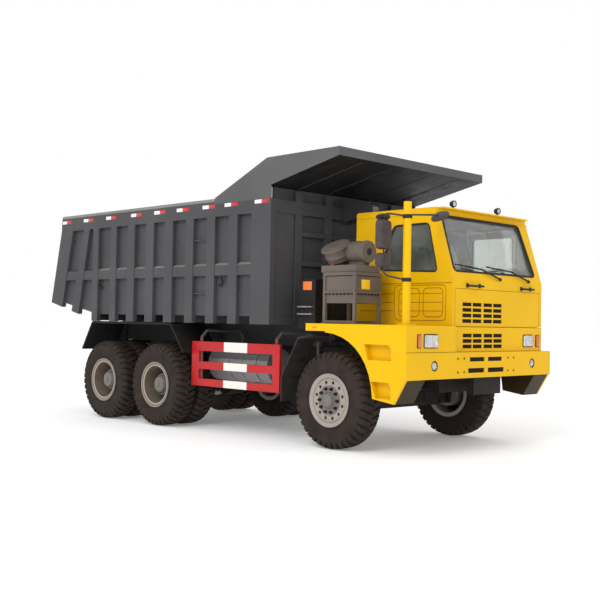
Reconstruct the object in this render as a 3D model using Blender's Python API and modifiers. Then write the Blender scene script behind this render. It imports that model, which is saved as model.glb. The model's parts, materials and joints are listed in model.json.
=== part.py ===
"""Mining dump truck, 6x4: rigid chassis, offset one-sided cab, steel tipping bed with a cab canopy.

Every piece is placed from the front axle's centre: X to the truck's left, Y rearwards, Z up.
An empty then carries the whole truck, so that the origin is at the bottom centre of its length and width.
"""

from math import atan2, cos, hypot, pi, radians, sin

import bmesh
import bpy
from mathutils import Matrix, Vector

# ---------------------------------------------------------------- driving dimensions, metres
GAP = 0.0003  # what two pieces that touch keep between them
PANEL_GAP = 0.006  # round a door or a lid
GLASS_GAP = 0.0005

TRUCK_FRONT = -1.496  # the bumper's face
WHEELBASE = 3.80  # front axle to middle axle
BOGIE_TYRE_GAP = 0.150  # between the middle and the rear tyres
HALF_WIDTH = 1.709  # decks and bumper

TYRE_RADIUS = 0.675  # loaded
AXLE_Z = 0.675  # the axles' height in the truck's own frame, which the tyres lift off the ground
TYRE_HALF_WIDTH = 0.1875
BEAD_RADIUS = 0.320
BEAD_HALF_WIDTH = 0.150
WHEEL_SIDES = 20  # a multiple of 4, so that one flat faces the ground
FRONT_HALF_TRACK = 1.355
REAR_OUTER_TYRE = 1.500
DUAL_SPACING = 0.420

KINGPIN_X = 1.000
KINGPIN_RADIUS = 0.080
STEERING_ARM = 0.260
HUB_FACE = 1.150  # where the front hub meets its knuckle
REAR_HUB_FACE = 0.860
DIFFERENTIAL_RADIUS = 0.235

MIDDLE_AXLE = WHEELBASE
REAR_AXLE = MIDDLE_AXLE + 2 * TYRE_RADIUS + BOGIE_TYRE_GAP
BOGIE_MIDDLE = (MIDDLE_AXLE + REAR_AXLE) / 2
BEFORE_MIDDLE_TYRES = MIDDLE_AXLE - TYRE_RADIUS

RAIL_IN = 0.380
RAIL_OUT = 0.460
RAIL_BOTTOM = 1.020
RAIL_TOP = 1.370
BUMPER_DEPTH = 0.120
BUMPER_Z = (1.032, 1.380)

DECK_TOP = 1.732
DECK_THICKNESS = 0.102
DECK_REAR = 0.299
DECK_FRONT = -1.486
SKIRT_DEPTH = 0.409
SKIRT_BOTTOM = 0.720
STEP_DEPTH = 0.095
ARCH_CENTRE = (0.020, 0.660)
ARCH_RADIUS = 0.960
ARCH_POWER = 2.25

CAB_X = (-0.660, 1.570)
CAB_FRONT = -1.420
CAB_REAR = 0.320
CAB_TOP = 3.270
CAB_WALL = 0.050
CAB_BEND = 2.370  # height where the front turns into the raked screen
CAB_TOP_FRONT = -1.135
ROOF_THICKNESS = 0.085
FLAP_Z = (1.727, 2.237)
FLAP_X = (-0.600, 1.500)
FLAP_THICKNESS = 0.045
DOOR_Y = (-1.050, -0.100)
DOOR_Z = (1.800, 3.200)
DOOR_THICKNESS = 0.048
GLASS_THICKNESS = 0.008
MIRROR_ARM = 0.013  # radius

BED_HALF_WIDTH = 1.681
BED_POST_DEPTH = 0.101
BED_SKIN = BED_HALF_WIDTH - BED_POST_DEPTH  # inner face of a bed side
SKIN_THICKNESS = 0.030
BED_FRONT = 1.079
BED_FLOOR = 1.850  # top of the floor plate
FLOOR_THICKNESS = 0.030
BED_BOTTOM = 1.700  # foot of the posts
BED_KICK = REAR_AXLE + 0.350  # where the floor turns up to the tail
BED_TAIL = (REAR_AXLE + 1.805, 2.030)  # lowest rear corner of a side
BED_TOP_REAR = BED_TAIL[0] - 0.308
BAND_Z = (3.345, 3.541)
MID_RAIL_Z = (2.436, 2.594)
TOP_RAIL_RADIUS = 0.048
CANOPY_TIP = (-0.258, 4.022)
CANOPY_TOP = 4.145
CANOPY_RAMP = (2.351, 3.637)
CANOPY_PEAK_Y = 1.181
CANOPY_ROOT = (1.090, 3.734)
CANOPY_PLATE = 0.021
PIVOT = (REAR_AXLE + 0.900, 1.270)  # the bed's hinge, seen from the side
PIVOT_SHAFT = 0.060
PIVOT_OVERHANG = 0.160  # of the shaft past a rail
HOIST_SLOT = 0.200  # half width left free under the bed's front wall for the tipping ram

HOIST_FOOT = (0.500, 1.300)
HOIST_EYE = (0.600, 3.500)
HOIST_RADII = (0.130, 0.108, 0.086, 0.064)
HOIST_RUN = 0.0006  # running gap between two stages
EYE_HALF_WIDTH = 0.080

GUARD_X = 1.500
GUARD_Y = (1.030, BEFORE_MIDDLE_TYRES - 0.060)
GUARD_BARS = ((0.707, 0.821), (0.974, 1.093), (1.260, 1.410))

TRUCK_CENTRE_Y = (TRUCK_FRONT + BED_TAIL[0]) / 2
SIDES = {"right": -1, "left": 1}

# ---------------------------------------------------------------- a clean scene and its materials
for leftover in list(bpy.data.objects):
    bpy.data.objects.remove(leftover)
scene = bpy.context.scene
truck = bpy.data.collections.new("mining_dump_truck")
cutters = bpy.data.collections.new("cutters")
scene.collection.children.link(truck)
scene.collection.children.link(cutters)
root = bpy.data.objects.new("truck_origin", None)
root.location = (0, -TRUCK_CENTRE_Y, TYRE_RADIUS - AXLE_Z)
truck.objects.link(root)

FINISHES = {
    "yellow_paint": ((0.90, 0.56, 0.005), 0.38, 0.0),
    "grey_paint": ((0.105, 0.105, 0.112), 0.55, 0.1),
    "chassis_paint": ((0.035, 0.033, 0.033), 0.6, 0.2),
    "wheel_paint": ((0.42, 0.39, 0.36), 0.5, 0.1),
    "red_paint": ((0.55, 0.012, 0.018), 0.4, 0.0),
    "filter_paint": ((0.17, 0.145, 0.125), 0.6, 0.0),
    "mirror_plastic": ((0.07, 0.06, 0.065), 0.55, 0.0),
    "tyre_rubber": ((0.030, 0.026, 0.024), 0.9, 0.0),
    "black_rubber": ((0.022, 0.021, 0.021), 0.8, 0.0),
    "trim_plastic": ((0.08, 0.08, 0.085), 0.6, 0.0),
    "seat_cloth": ((0.55, 0.62, 0.56), 0.85, 0.0),
    "glass": ((0.30, 0.34, 0.34), 0.08, 0.0),
    "steel_tube": ((0.45, 0.45, 0.46), 0.35, 0.8),
}


def finish(name):
    found = bpy.data.materials.get(name)
    if found:
        return found
    colour, roughness, metallic = FINISHES[name]
    made = bpy.data.materials.new(name)
    made.use_nodes = True
    shader = made.node_tree.nodes["Principled BSDF"]
    shader.inputs["Base Color"].default_value = (*colour, 1)
    shader.inputs["Roughness"].default_value = roughness
    shader.inputs["Metallic"].default_value = metallic
    return made


# ---------------------------------------------------------------- shapes
def operand(mesh):
    """A mesh as a hidden helper object, for a Boolean."""
    helper = bpy.data.objects.new("helper", mesh)
    helper.hide_render = True
    helper.display_type = "WIRE"
    cutters.objects.link(helper)
    return helper


def tidy_mesh(bm, matrix=None):
    """The bmesh welded, turned by the matrix and facing out, as a hidden helper object."""
    if matrix is not None:
        bmesh.ops.transform(bm, matrix=matrix, verts=bm.verts)
    bmesh.ops.remove_doubles(bm, verts=bm.verts, dist=1e-5)
    bmesh.ops.recalc_face_normals(bm, faces=bm.faces)
    mesh = bpy.data.meshes.new("helper")
    bm.to_mesh(mesh)
    bm.free()
    return operand(mesh)


def evaluated_bmesh(source):
    """What Blender makes of the object, as a bmesh. The object itself goes."""
    bpy.context.view_layer.update()
    graph = bpy.context.evaluated_depsgraph_get()
    mesh = bpy.data.meshes.new_from_object(source.evaluated_get(graph))
    bm = bmesh.new()
    bm.from_mesh(mesh)
    bpy.data.objects.remove(source)
    return bm


def block(low, high):
    """A box between two corners."""
    bm = bmesh.new()
    bmesh.ops.create_cube(bm, size=1)
    low, high = Vector(map(min, low, high)), Vector(map(max, low, high))
    place = Matrix.Translation((low + high) / 2) @ Matrix.Diagonal((*(high - low), 1))
    return tidy_mesh(bm, place)


def rod(start, end, radius, sides=12, end_radius=None):
    """A cylinder, or a cone, between two points."""
    start, end = Vector(start), Vector(end)
    bm = bmesh.new()
    bmesh.ops.create_cone(
        bm,
        cap_ends=True,
        segments=sides,
        radius1=radius,
        radius2=radius if end_radius is None else end_radius,
        depth=(end - start).length,
    )
    turn = (end - start).to_track_quat("Z", "Y").to_matrix().to_4x4()
    return tidy_mesh(bm, Matrix.Translation((start + end) / 2) @ turn)


PLANES = {  # how an outline's own x, y and thickness lie in the truck
    "X": Matrix(((0, 0, 1, 0), (1, 0, 0, 0), (0, 1, 0, 0), (0, 0, 0, 1))),
    "Y": Matrix(((1, 0, 0, 0), (0, 0, -1, 0), (0, 1, 0, 0), (0, 0, 0, 1))),
    "Z": Matrix.Identity(4),
}


def outline_curve(points, thickness):
    curve = bpy.data.curves.new("outline", "CURVE")
    curve.dimensions = "2D"
    curve.fill_mode = "BOTH"
    curve.extrude = thickness / 2
    spline = curve.splines.new("POLY")
    spline.points.add(len(points) - 1)
    for point, (x, y) in zip(spline.points, points):
        point.co = (x, y, 0, 1)
    spline.use_cyclic_u = True
    return operand(curve)


def plate(points, across, low, high, matrix=None):
    """A flat outline, thickened from low to high along the axis that it lies across."""
    bm = evaluated_bmesh(outline_curve(points, abs(high - low)))
    shift = Vector([(low + high) / 2 if axis == across else 0 for axis in "XYZ"])
    turned_into_place = Matrix.Translation(shift) @ PLANES[across]
    if matrix is not None:
        turned_into_place = matrix @ turned_into_place
    return tidy_mesh(bm, turned_into_place)


def tube(points, radius, sides=8):
    """A bent bar through the points."""
    curve = bpy.data.curves.new("tube", "CURVE")
    curve.dimensions = "3D"
    curve.bevel_depth = radius
    curve.bevel_resolution = sides // 4
    curve.use_fill_caps = True
    spline = curve.splines.new("POLY")
    spline.points.add(len(points) - 1)
    for point, co in zip(spline.points, points):
        point.co = (*co, 1)
    return tidy_mesh(evaluated_bmesh(operand(curve)))


def turned(profile, sides=WHEEL_SIDES, closed=True):
    """A profile of (along X, radius) pairs turned about the X axis, with one flat straight down."""
    bm = bmesh.new()
    verts = [bm.verts.new((along, radius, 0)) for along, radius in profile]
    for first, second in zip(verts, verts[1:]):
        bm.edges.new((first, second))
    if closed:
        bm.edges.new((verts[-1], verts[0]))
    mesh = bpy.data.meshes.new("profile")
    bm.to_mesh(mesh)
    bm.free()
    source = operand(mesh)
    screw = source.modifiers.new("turn", "SCREW")
    screw.axis = "X"
    screw.steps = sides
    screw.render_steps = sides
    screw.use_merge_vertices = True
    screw.merge_threshold = 1e-4
    return tidy_mesh(evaluated_bmesh(source), Matrix.Rotation(pi / sides, 4, "X"))


def boolean(target, others, operation):
    """Adds a Boolean with every other shape at once."""
    group = bpy.data.collections.new(operation.lower())
    cutters.children.link(group)
    for other in others:
        group.objects.link(other)
    modifier = target.modifiers.new(operation.lower(), "BOOLEAN")
    modifier.operation = operation
    modifier.solver = "EXACT"
    modifier.operand_type = "COLLECTION"
    modifier.collection = group


def node(name, material, adds, cuts=(), pivot=(0, 0, 0)):
    """One named piece: shapes joined to the first, cuts taken out, its origin at the pivot."""
    base = adds[0]
    if len(adds) > 1:
        boolean(base, adds[1:], "UNION")
    if cuts:
        boolean(base, cuts, "DIFFERENCE")
    bm = evaluated_bmesh(base)
    bmesh.ops.remove_doubles(bm, verts=bm.verts, dist=2e-5)
    bmesh.ops.dissolve_degenerate(bm, edges=bm.edges, dist=1e-5)
    bmesh.ops.translate(bm, vec=-Vector(pivot), verts=bm.verts)
    for used in [*adds[1:], *cuts]:
        bpy.data.objects.remove(used)
    mesh = bpy.data.meshes.new(name)
    bm.to_mesh(mesh)
    bm.free()
    mesh.shade_smooth()
    mesh.set_sharp_from_angle(angle=radians(35))
    piece = bpy.data.objects.new(name, mesh)
    piece.location = pivot
    piece.parent = root
    piece.data.materials.clear()
    piece.data.materials.append(finish(material))
    truck.objects.link(piece)
    return piece


def mirrored_block(low, high):
    """The same box on both sides of the truck."""
    return [block(low, high), block((-low[0], *low[1:]), (-high[0], *high[1:]))]


def arc(centre, radius, start_deg, end_deg, steps):
    """Points along an arc in an outline's plane."""
    angles = [radians(start_deg + (end_deg - start_deg) * i / steps) for i in range(steps + 1)]
    return [(centre[0] + radius * cos(a), centre[1] + radius * sin(a)) for a in angles]


def rounded(points, radius, steps=2):
    """An outline with each corner replaced by a short arc, as a chain of points."""
    made = []
    count = len(points)
    for i in range(count):
        before, here, after = (Vector(points[(i + k) % count]) for k in (-1, 0, 1))
        start = here + (before - here).normalized() * radius
        end = here + (after - here).normalized() * radius
        for k in range(steps + 1):
            t = k / steps
            made.append(tuple((1 - t) ** 2 * start + 2 * t * (1 - t) * here + t**2 * end))
    return made


# ---------------------------------------------------------------- chassis and running gear
def build_chassis():
    front = TRUCK_FRONT + BUMPER_DEPTH + GAP
    deck_bottom = DECK_TOP - DECK_THICKNESS
    shapes = mirrored_block((RAIL_IN, front, RAIL_BOTTOM), (RAIL_OUT, PIVOT[0], RAIL_TOP))
    for y in (-1.20, 0.98, 2.20, MIDDLE_AXLE - 0.60, BOGIE_MIDDLE, REAR_AXLE + 0.50):  # cross-members
        shapes.append(block((-RAIL_IN - 0.04, y - 0.06, 1.06), (RAIL_IN + 0.04, y + 0.06, 1.30)))
    hoist_y, hoist_z = HOIST_FOOT
    shapes.append(block((-0.42, hoist_y - 0.09, 1.03), (0.42, hoist_y + 0.09, hoist_z - 0.12)))
    for ear in mirrored_block(
        (EYE_HALF_WIDTH + GLASS_GAP, hoist_y - 0.08, hoist_z - 0.16),
        (EYE_HALF_WIDTH + 0.035, hoist_y + 0.08, hoist_z + 0.07),
    ):
        shapes.append(ear)
    shapes.append(block((-0.04, front + 0.03, 0.78), (0.62, front + 0.13, 1.10)))  # lower front beam
    for y in (-1.24, 0.20):  # outriggers under the decks and the cab
        shapes.append(block((-1.28, y - 0.05, 1.50), (1.28, y + 0.05, deck_bottom - GAP)))
        shapes += mirrored_block((RAIL_IN, y - 0.04, 1.30), (RAIL_OUT, y + 0.04, 1.55))
        shapes += mirrored_block((0.50, y - 0.04, 1.58), (0.62, y + 0.04, DECK_TOP))
    for y in (-0.72, 0.72):  # front spring hangers
        shapes += mirrored_block((0.40, y - 0.06, 0.86 + GAP), (0.50, y + 0.06, 1.10))
    hanger = (BOGIE_MIDDLE - 0.10, BOGIE_MIDDLE + 0.10)
    shapes += mirrored_block((RAIL_IN, hanger[0], 1.00 + GAP), (RAIL_OUT, hanger[1], 1.10))
    y, z = PIVOT
    end = RAIL_OUT + PIVOT_OVERHANG
    shapes.append(rod((-end, y, z), (end, y, z), PIVOT_SHAFT, 24))
    shapes += mirrored_rods((RAIL_IN, y, z), (RAIL_OUT, y, z), 0.10)
    node("chassis_frame", "chassis_paint", shapes)


def mirrored_rods(start, end, radius, sides=16):
    return [
        rod((s * start[0], *start[1:]), (s * end[0], *end[1:]), radius, sides) for s in (-1, 1)
    ]


def build_engine():
    block_x = 0.360
    shapes = [block((-block_x, -1.00, 0.80), (block_x, 0.10, 1.60))]
    shapes.append(rod((0, 0.05, 1.05), (0, 0.38, 1.05), 0.22, 16, 0.14))  # gearbox
    for y in (-0.70, -0.15):
        shapes.append(block((-RAIL_IN + GAP, y - 0.05, 1.10), (RAIL_IN - GAP, y + 0.05, 1.20)))
    front_z, rear_z = 0.94, AXLE_Z + 0.05
    front_y, rear_y = 0.34, MIDDLE_AXLE - DIFFERENTIAL_RADIUS - GAP
    shapes += [  # propeller shaft
        rod((0, front_y, front_z), (0, rear_y - 0.06, rear_z), 0.055, 12),
        rod((0, rear_y - 0.09, rear_z), (0, rear_y, rear_z), 0.075, 12),
    ]
    node("engine_and_driveline", "chassis_paint", shapes)


def build_front_axle():
    z = AXLE_Z
    beam = [
        block((-KINGPIN_X, -0.065, z - 0.075), (KINGPIN_X, 0.065, z + 0.055)),
        block((-0.88, -0.060, z - 0.160), (0.88, 0.060, z - 0.070)),
    ]
    for s in SIDES.values():
        kingpin = s * KINGPIN_X
        beam.append(rod((kingpin, 0, z - 0.09), (kingpin, 0, z + 0.10), KINGPIN_RADIUS))
        leaves = [(-0.80, 0.86), (-0.80, 0.83), (-0.12, 0.72), (0.12, 0.72), (0.80, 0.83), (0.80, 0.86)]
        beam.append(plate(leaves, "X", s * 0.40, s * 0.50))
    node("front_axle", "chassis_paint", beam)
    for side, s in SIDES.items():
        x = s * KINGPIN_X
        shapes = [
            rod((x, 0, z + 0.10 + GAP), (x, 0, z + 0.155), KINGPIN_RADIUS),
            rod((x, 0, z - 0.145), (x, 0, z - 0.09 - GAP), KINGPIN_RADIUS),
            block((x, -0.05, z + 0.101), (x + s * 0.10, 0.05, z + 0.154)),
            block((x, -0.05, z - 0.144), (x + s * 0.10, 0.05, z - 0.091)),
            block((x + s * 0.095, -0.10, z - 0.146), (x + s * 0.135, 0.10, z + 0.156)),
            rod((x + s * 0.12, 0, z), (s * (HUB_FACE - GAP), 0, z), 0.11),
            block((x - 0.03, 0, z - 0.135), (x + 0.03, STEERING_ARM, z - 0.105)),
            rod((x, STEERING_ARM, z - 0.140), (x, STEERING_ARM, z - 0.100), 0.045),
        ]
        node(f"knuckle_{side}", "chassis_paint", shapes, pivot=(x, 0, z))
    rod_z = z - 0.070
    shapes = [rod((-KINGPIN_X, STEERING_ARM, rod_z), (KINGPIN_X, STEERING_ARM, rod_z), 0.022, 12)]
    for s in (-1, 1):
        x = s * KINGPIN_X
        shapes.append(rod((x, STEERING_ARM, z - 0.100 + GAP), (x, STEERING_ARM, rod_z + 0.03), 0.040))
    node("tie_rod", "chassis_paint", shapes, pivot=(-KINGPIN_X, STEERING_ARM, rod_z))


def build_bogie():
    z = AXLE_Z
    middle = BOGIE_MIDDLE
    shapes = [rod((-0.76, middle, 0.92), (0.76, middle, 0.92), 0.08, 16)]
    for y in (MIDDLE_AXLE, REAR_AXLE):
        face = REAR_HUB_FACE - GAP
        shapes.append(rod((-face, y, z), (face, y, z), 0.11, 16))
        shapes.append(rod((-0.17, y, z + 0.02), (0.17, y, z + 0.02), DIFFERENTIAL_RADIUS, 16))
    for s in (-1, 1):
        leaves = [
            (MIDDLE_AXLE - 0.10, 0.76),
            (middle, 0.84),
            (REAR_AXLE + 0.10, 0.76),
            (REAR_AXLE + 0.10, 0.82),
            (middle + 0.15, 1.00),
            (middle - 0.15, 1.00),
            (MIDDLE_AXLE - 0.10, 0.82),
        ]
        shapes.append(plate(leaves, "X", s * 0.60, s * 0.70))
    node("rear_bogie", "chassis_paint", shapes)


def tyre_side(centre, s):
    """One flank of a tyre's section, from the bead up to the tread, on the side that s points to."""
    crown = TYRE_RADIUS / cos(pi / WHEEL_SIDES)
    return [
        (centre + s * BEAD_HALF_WIDTH, BEAD_RADIUS),
        (centre + s * TYRE_HALF_WIDTH, BEAD_RADIUS + 0.14),
        (centre + s * (TYRE_HALF_WIDTH - 0.010), TYRE_RADIUS - 0.075),
        (centre + s * (TYRE_HALF_WIDTH - 0.062), crown),
    ]


def rim_section(inner, outer):
    """The barrel and flanges of a rim between its bead seats, from its inner lip to its outer lip."""
    lip = []
    for seat, s in ((inner - BEAD_HALF_WIDTH, -1), (outer + BEAD_HALF_WIDTH, 1)):
        side = [
            (seat + s * 0.022, 0.297),
            (seat + s * 0.035, 0.372),
            (seat + s * 0.0165, 0.372),
            (seat + s * 0.001, BEAD_RADIUS - GLASS_GAP),
        ]
        lip += side if s < 0 else side[::-1]
    return lip


def build_wheels():
    for side, s in SIDES.items():
        centre = FRONT_HALF_TRACK
        section = tyre_side(centre, 1) + tyre_side(centre, -1)[::-1]
        wheel_node(f"front_tyre_{side}", "tyre_rubber", section, s, 0, True)
        rim = [(HUB_FACE, 0), (HUB_FACE, 0.235), (1.500, 0.235), (1.500, 0.297)]
        rim += rim_section(centre, centre)
        rim += [(1.525, 0.297), (1.525, 0.19), (1.575, 0.11), (1.575, 0)]
        wheel_node(f"front_rim_{side}", "wheel_paint", rim, s, 0, False)
        for place, y in (("middle", MIDDLE_AXLE), ("rear", REAR_AXLE)):
            outer, inner = REAR_OUTER_TYRE, REAR_OUTER_TYRE - DUAL_SPACING
            section = tyre_side(outer, 1) + tyre_side(outer, -1)[:0:-1]
            section += [(outer - BEAD_HALF_WIDTH - 0.02, 0.345), (inner + BEAD_HALF_WIDTH + 0.02, 0.345)]
            section += tyre_side(inner, 1)[1:] + tyre_side(inner, -1)[::-1]
            wheel_node(f"{place}_tyres_{side}", "tyre_rubber", section, s, y, True)
            rim = [(REAR_HUB_FACE, 0), (REAR_HUB_FACE, 0.24), (1.28, 0.24), (1.28, 0.297)]
            rim += rim_section(inner, outer)
            rim += [(1.320, 0.297), (1.320, 0.19), (1.62, 0.17), (1.66, 0)]
            wheel_node(f"{place}_rims_{side}", "wheel_paint", rim, s, y, False)


def wheel_node(name, material, section, s, y, closed):
    """A turned wheel piece whose origin is on the axle at the truck's centreline."""
    shape = turned([(s * along, radius) for along, radius in section], closed=closed)
    shape.data.transform(Matrix.Translation((0, y, AXLE_Z)))
    node(name, material, [shape], pivot=(0, y, AXLE_Z))


# ---------------------------------------------------------------- front: bumper, fascia, decks
def build_bumper():
    y0, y1 = TRUCK_FRONT, TRUCK_FRONT + BUMPER_DEPTH
    cuts = []
    for low, high, columns in (
        (1.254, 1.311, ((-0.35, -0.005), (0.08, 0.42))),
        (1.100, 1.163, ((-0.385, -0.005), (0.08, 0.47))),
    ):
        for x0, x1 in columns:
            cuts.append(block((x0, y0 - 0.05, low), (x1, y0 + 0.05, high)))
    for x in (-1.132, 1.208):
        cuts.append(rod((x, y0 - 0.05, 1.206), (x, y0 + 0.04, 1.206), 0.07, 16))
    body = block((-HALF_WIDTH, y0, BUMPER_Z[0]), (HALF_WIDTH, y1, BUMPER_Z[1]))
    node("bumper", "yellow_paint", [body], cuts)


def grille_cuts(columns, rows, y0, y1):
    return [block((x0, y0, z0), (x1, y1, z1)) for x0, x1 in columns for z0, z1 in rows]


def spread(low, high, count, share):
    """Equal slots with bars between them: each slot takes this share of its pitch."""
    pitch = (high - low) / (count - 1 + share)
    return [(low + i * pitch, low + i * pitch + share * pitch) for i in range(count)]


def build_fascia_and_flap():
    columns = spread(-0.43, 0.02, 2, 0.90) + spread(0.065, 0.515, 2, 0.90)
    y0, y1 = CAB_FRONT - 0.01, CAB_FRONT + 0.03
    panel = block((CAB_X[0] - 0.0045, y0, BUMPER_Z[1] + GAP), (CAB_X[1] - 0.01, y1, FLAP_Z[0] - 0.005))
    rows = spread(1.43, 1.63, 3, 0.68)
    node("front_fascia", "yellow_paint", [panel], grille_cuts(columns, rows, y0 - 0.05, y1 + 0.05))

    y0, y1 = CAB_FRONT, CAB_FRONT + FLAP_THICKNESS
    panel = block((FLAP_X[0], y0, FLAP_Z[0]), (FLAP_X[1], y1, FLAP_Z[1]))
    rows = spread(1.777, 2.054, 4, 0.66)
    cuts = grille_cuts(columns, rows, y0 - 0.05, y1 + 0.05)
    node("front_flap", "yellow_paint", [panel], cuts, pivot=(0, CAB_FRONT, FLAP_Z[1] + GAP))


def skirt_outline(upper_front):
    """The side of a deck below its slab, with its face above the bumper at upper_front."""
    slab = DECK_TOP - DECK_THICKNESS + 0.03
    back = TRUCK_FRONT + BUMPER_DEPTH + GAP
    under = BUMPER_Z[0] - GAP
    arch = []
    for angle in range(175, 90, -9):  # a little squarer than a circle
        lean = radians(angle)
        along = -abs(cos(lean)) ** (2 / ARCH_POWER)
        up = abs(sin(lean)) ** (2 / ARCH_POWER)
        arch.append((ARCH_CENTRE[0] + ARCH_RADIUS * along, ARCH_CENTRE[1] + ARCH_RADIUS * up))
    return [
        (upper_front, slab),
        (upper_front, BUMPER_Z[1] + GAP),
        (back, BUMPER_Z[1] + GAP),
        (back, under),
        (DECK_FRONT + 0.006, under),
        (-1.291, SKIRT_BOTTOM),
        *arch,
        (arch[-1][0], slab),
    ]


def step_cuts(s):
    """Two foot recesses, each with a chamfered upper front corner."""
    cuts = []
    for top, foot, z0, z1 in ((-0.785, -0.847, 1.270, 1.472), (-0.909, -0.986, 0.780, 0.990)):
        hole = [(top, z1), (-1.195, z1), (-1.24, z1 - 0.06), (-1.24, z0), (foot, z0)]
        cuts.append(plate(hole, "X", s * (HALF_WIDTH + 0.05), s * (HALF_WIDTH - STEP_DEPTH)))
    return cuts


def build_decks():
    low = DECK_TOP - DECK_THICKNESS
    inner = -CAB_X[0] + 0.005
    skirt_in = HALF_WIDTH - SKIRT_DEPTH
    right = [
        block((-HALF_WIDTH, DECK_FRONT, low), (-inner, DECK_REAR, DECK_TOP)),
        plate(skirt_outline(DECK_FRONT), "X", -HALF_WIDTH, -skirt_in),
        block((-HALF_WIDTH, DECK_FRONT, BUMPER_Z[1] + GAP), (-inner, DECK_FRONT + 0.046, low + 0.05)),
    ]
    node("deck_right", "yellow_paint", right, step_cuts(-1))
    upper_front = -1.24
    left = [
        block((inner, -1.36, low), (CAB_X[1] - 0.02, DECK_REAR, DECK_TOP)),
        block((CAB_X[1] - 0.10, upper_front, low), (HALF_WIDTH, DECK_REAR, DECK_TOP - 0.0001)),
        plate(skirt_outline(upper_front), "X", HALF_WIDTH, skirt_in),
    ]
    node("deck_left", "yellow_paint", left, step_cuts(1))
    for side, s in SIDES.items():
        flap = [(0.34, 1.555), (0.628, 1.505), (0.950, 0.953), (0.955, 0.595)]
        back = [(0.980, 0.595), (0.975, 0.960), (0.645, 1.529), (0.34, 1.580)]
        shapes = [
            plate(flap + back, "X", s * 1.17, s * 1.52),
            block((s * (RAIL_OUT + GAP), 0.86, 1.14), (s * 1.30, 0.90, 1.19)),
            block((s * 1.18, 0.80, 1.14), (s * 1.30, 0.90, 1.19)),
        ]
        node(f"front_mudguard_{side}", "black_rubber", shapes)


# ---------------------------------------------------------------- cab
def rake():
    """The screen's frame: x across the cab, y up the rake and z out of the glass."""
    foot = Vector(((CAB_X[0] + CAB_X[1]) / 2, CAB_FRONT, CAB_BEND))
    up = Vector((0, CAB_TOP_FRONT - CAB_FRONT, CAB_TOP - CAB_BEND)).normalized()
    across = Vector((1, 0, 0))
    out = across.cross(up)
    turn = Matrix((across, up, out)).transposed().to_4x4()
    return Matrix.Translation(foot) @ turn


SCREEN = [(-1.035, 0.115), (0.965, 0.115), (0.870, 0.915), (-1.020, 0.915)]
RIGHT_WINDOW = [(-1.155, 2.470), (-0.140, 2.510), (-0.390, 3.125), (-1.000, 3.135)]
DOOR_WINDOW = [(-0.960, 2.480), (-0.190, 2.480), (-0.190, 3.110), (-0.930, 3.110)]
REAR_WINDOW = [(-0.150, 2.500), (1.060, 2.500), (1.060, 3.000), (-0.150, 3.000)]


def shrunk(points, by):
    """A convex outline moved in by a distance on every side."""
    count = len(points)
    turns = sum(
        points[i][0] * points[(i + 1) % count][1] - points[(i + 1) % count][0] * points[i][1]
        for i in range(count)
    )
    sign = 1 if turns > 0 else -1
    made = []
    for i in range(count):
        before, here, after = (Vector(points[(i + k) % count]) for k in (-1, 0, 1))
        first, second = (here - before).normalized(), (after - here).normalized()
        inward = [Vector((-d.y, d.x)) * sign for d in (first, second)]
        corner = (inward[0] + inward[1]) / (1 + inward[0].dot(inward[1]))
        made.append(tuple(here + corner * by))
    return made


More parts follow.
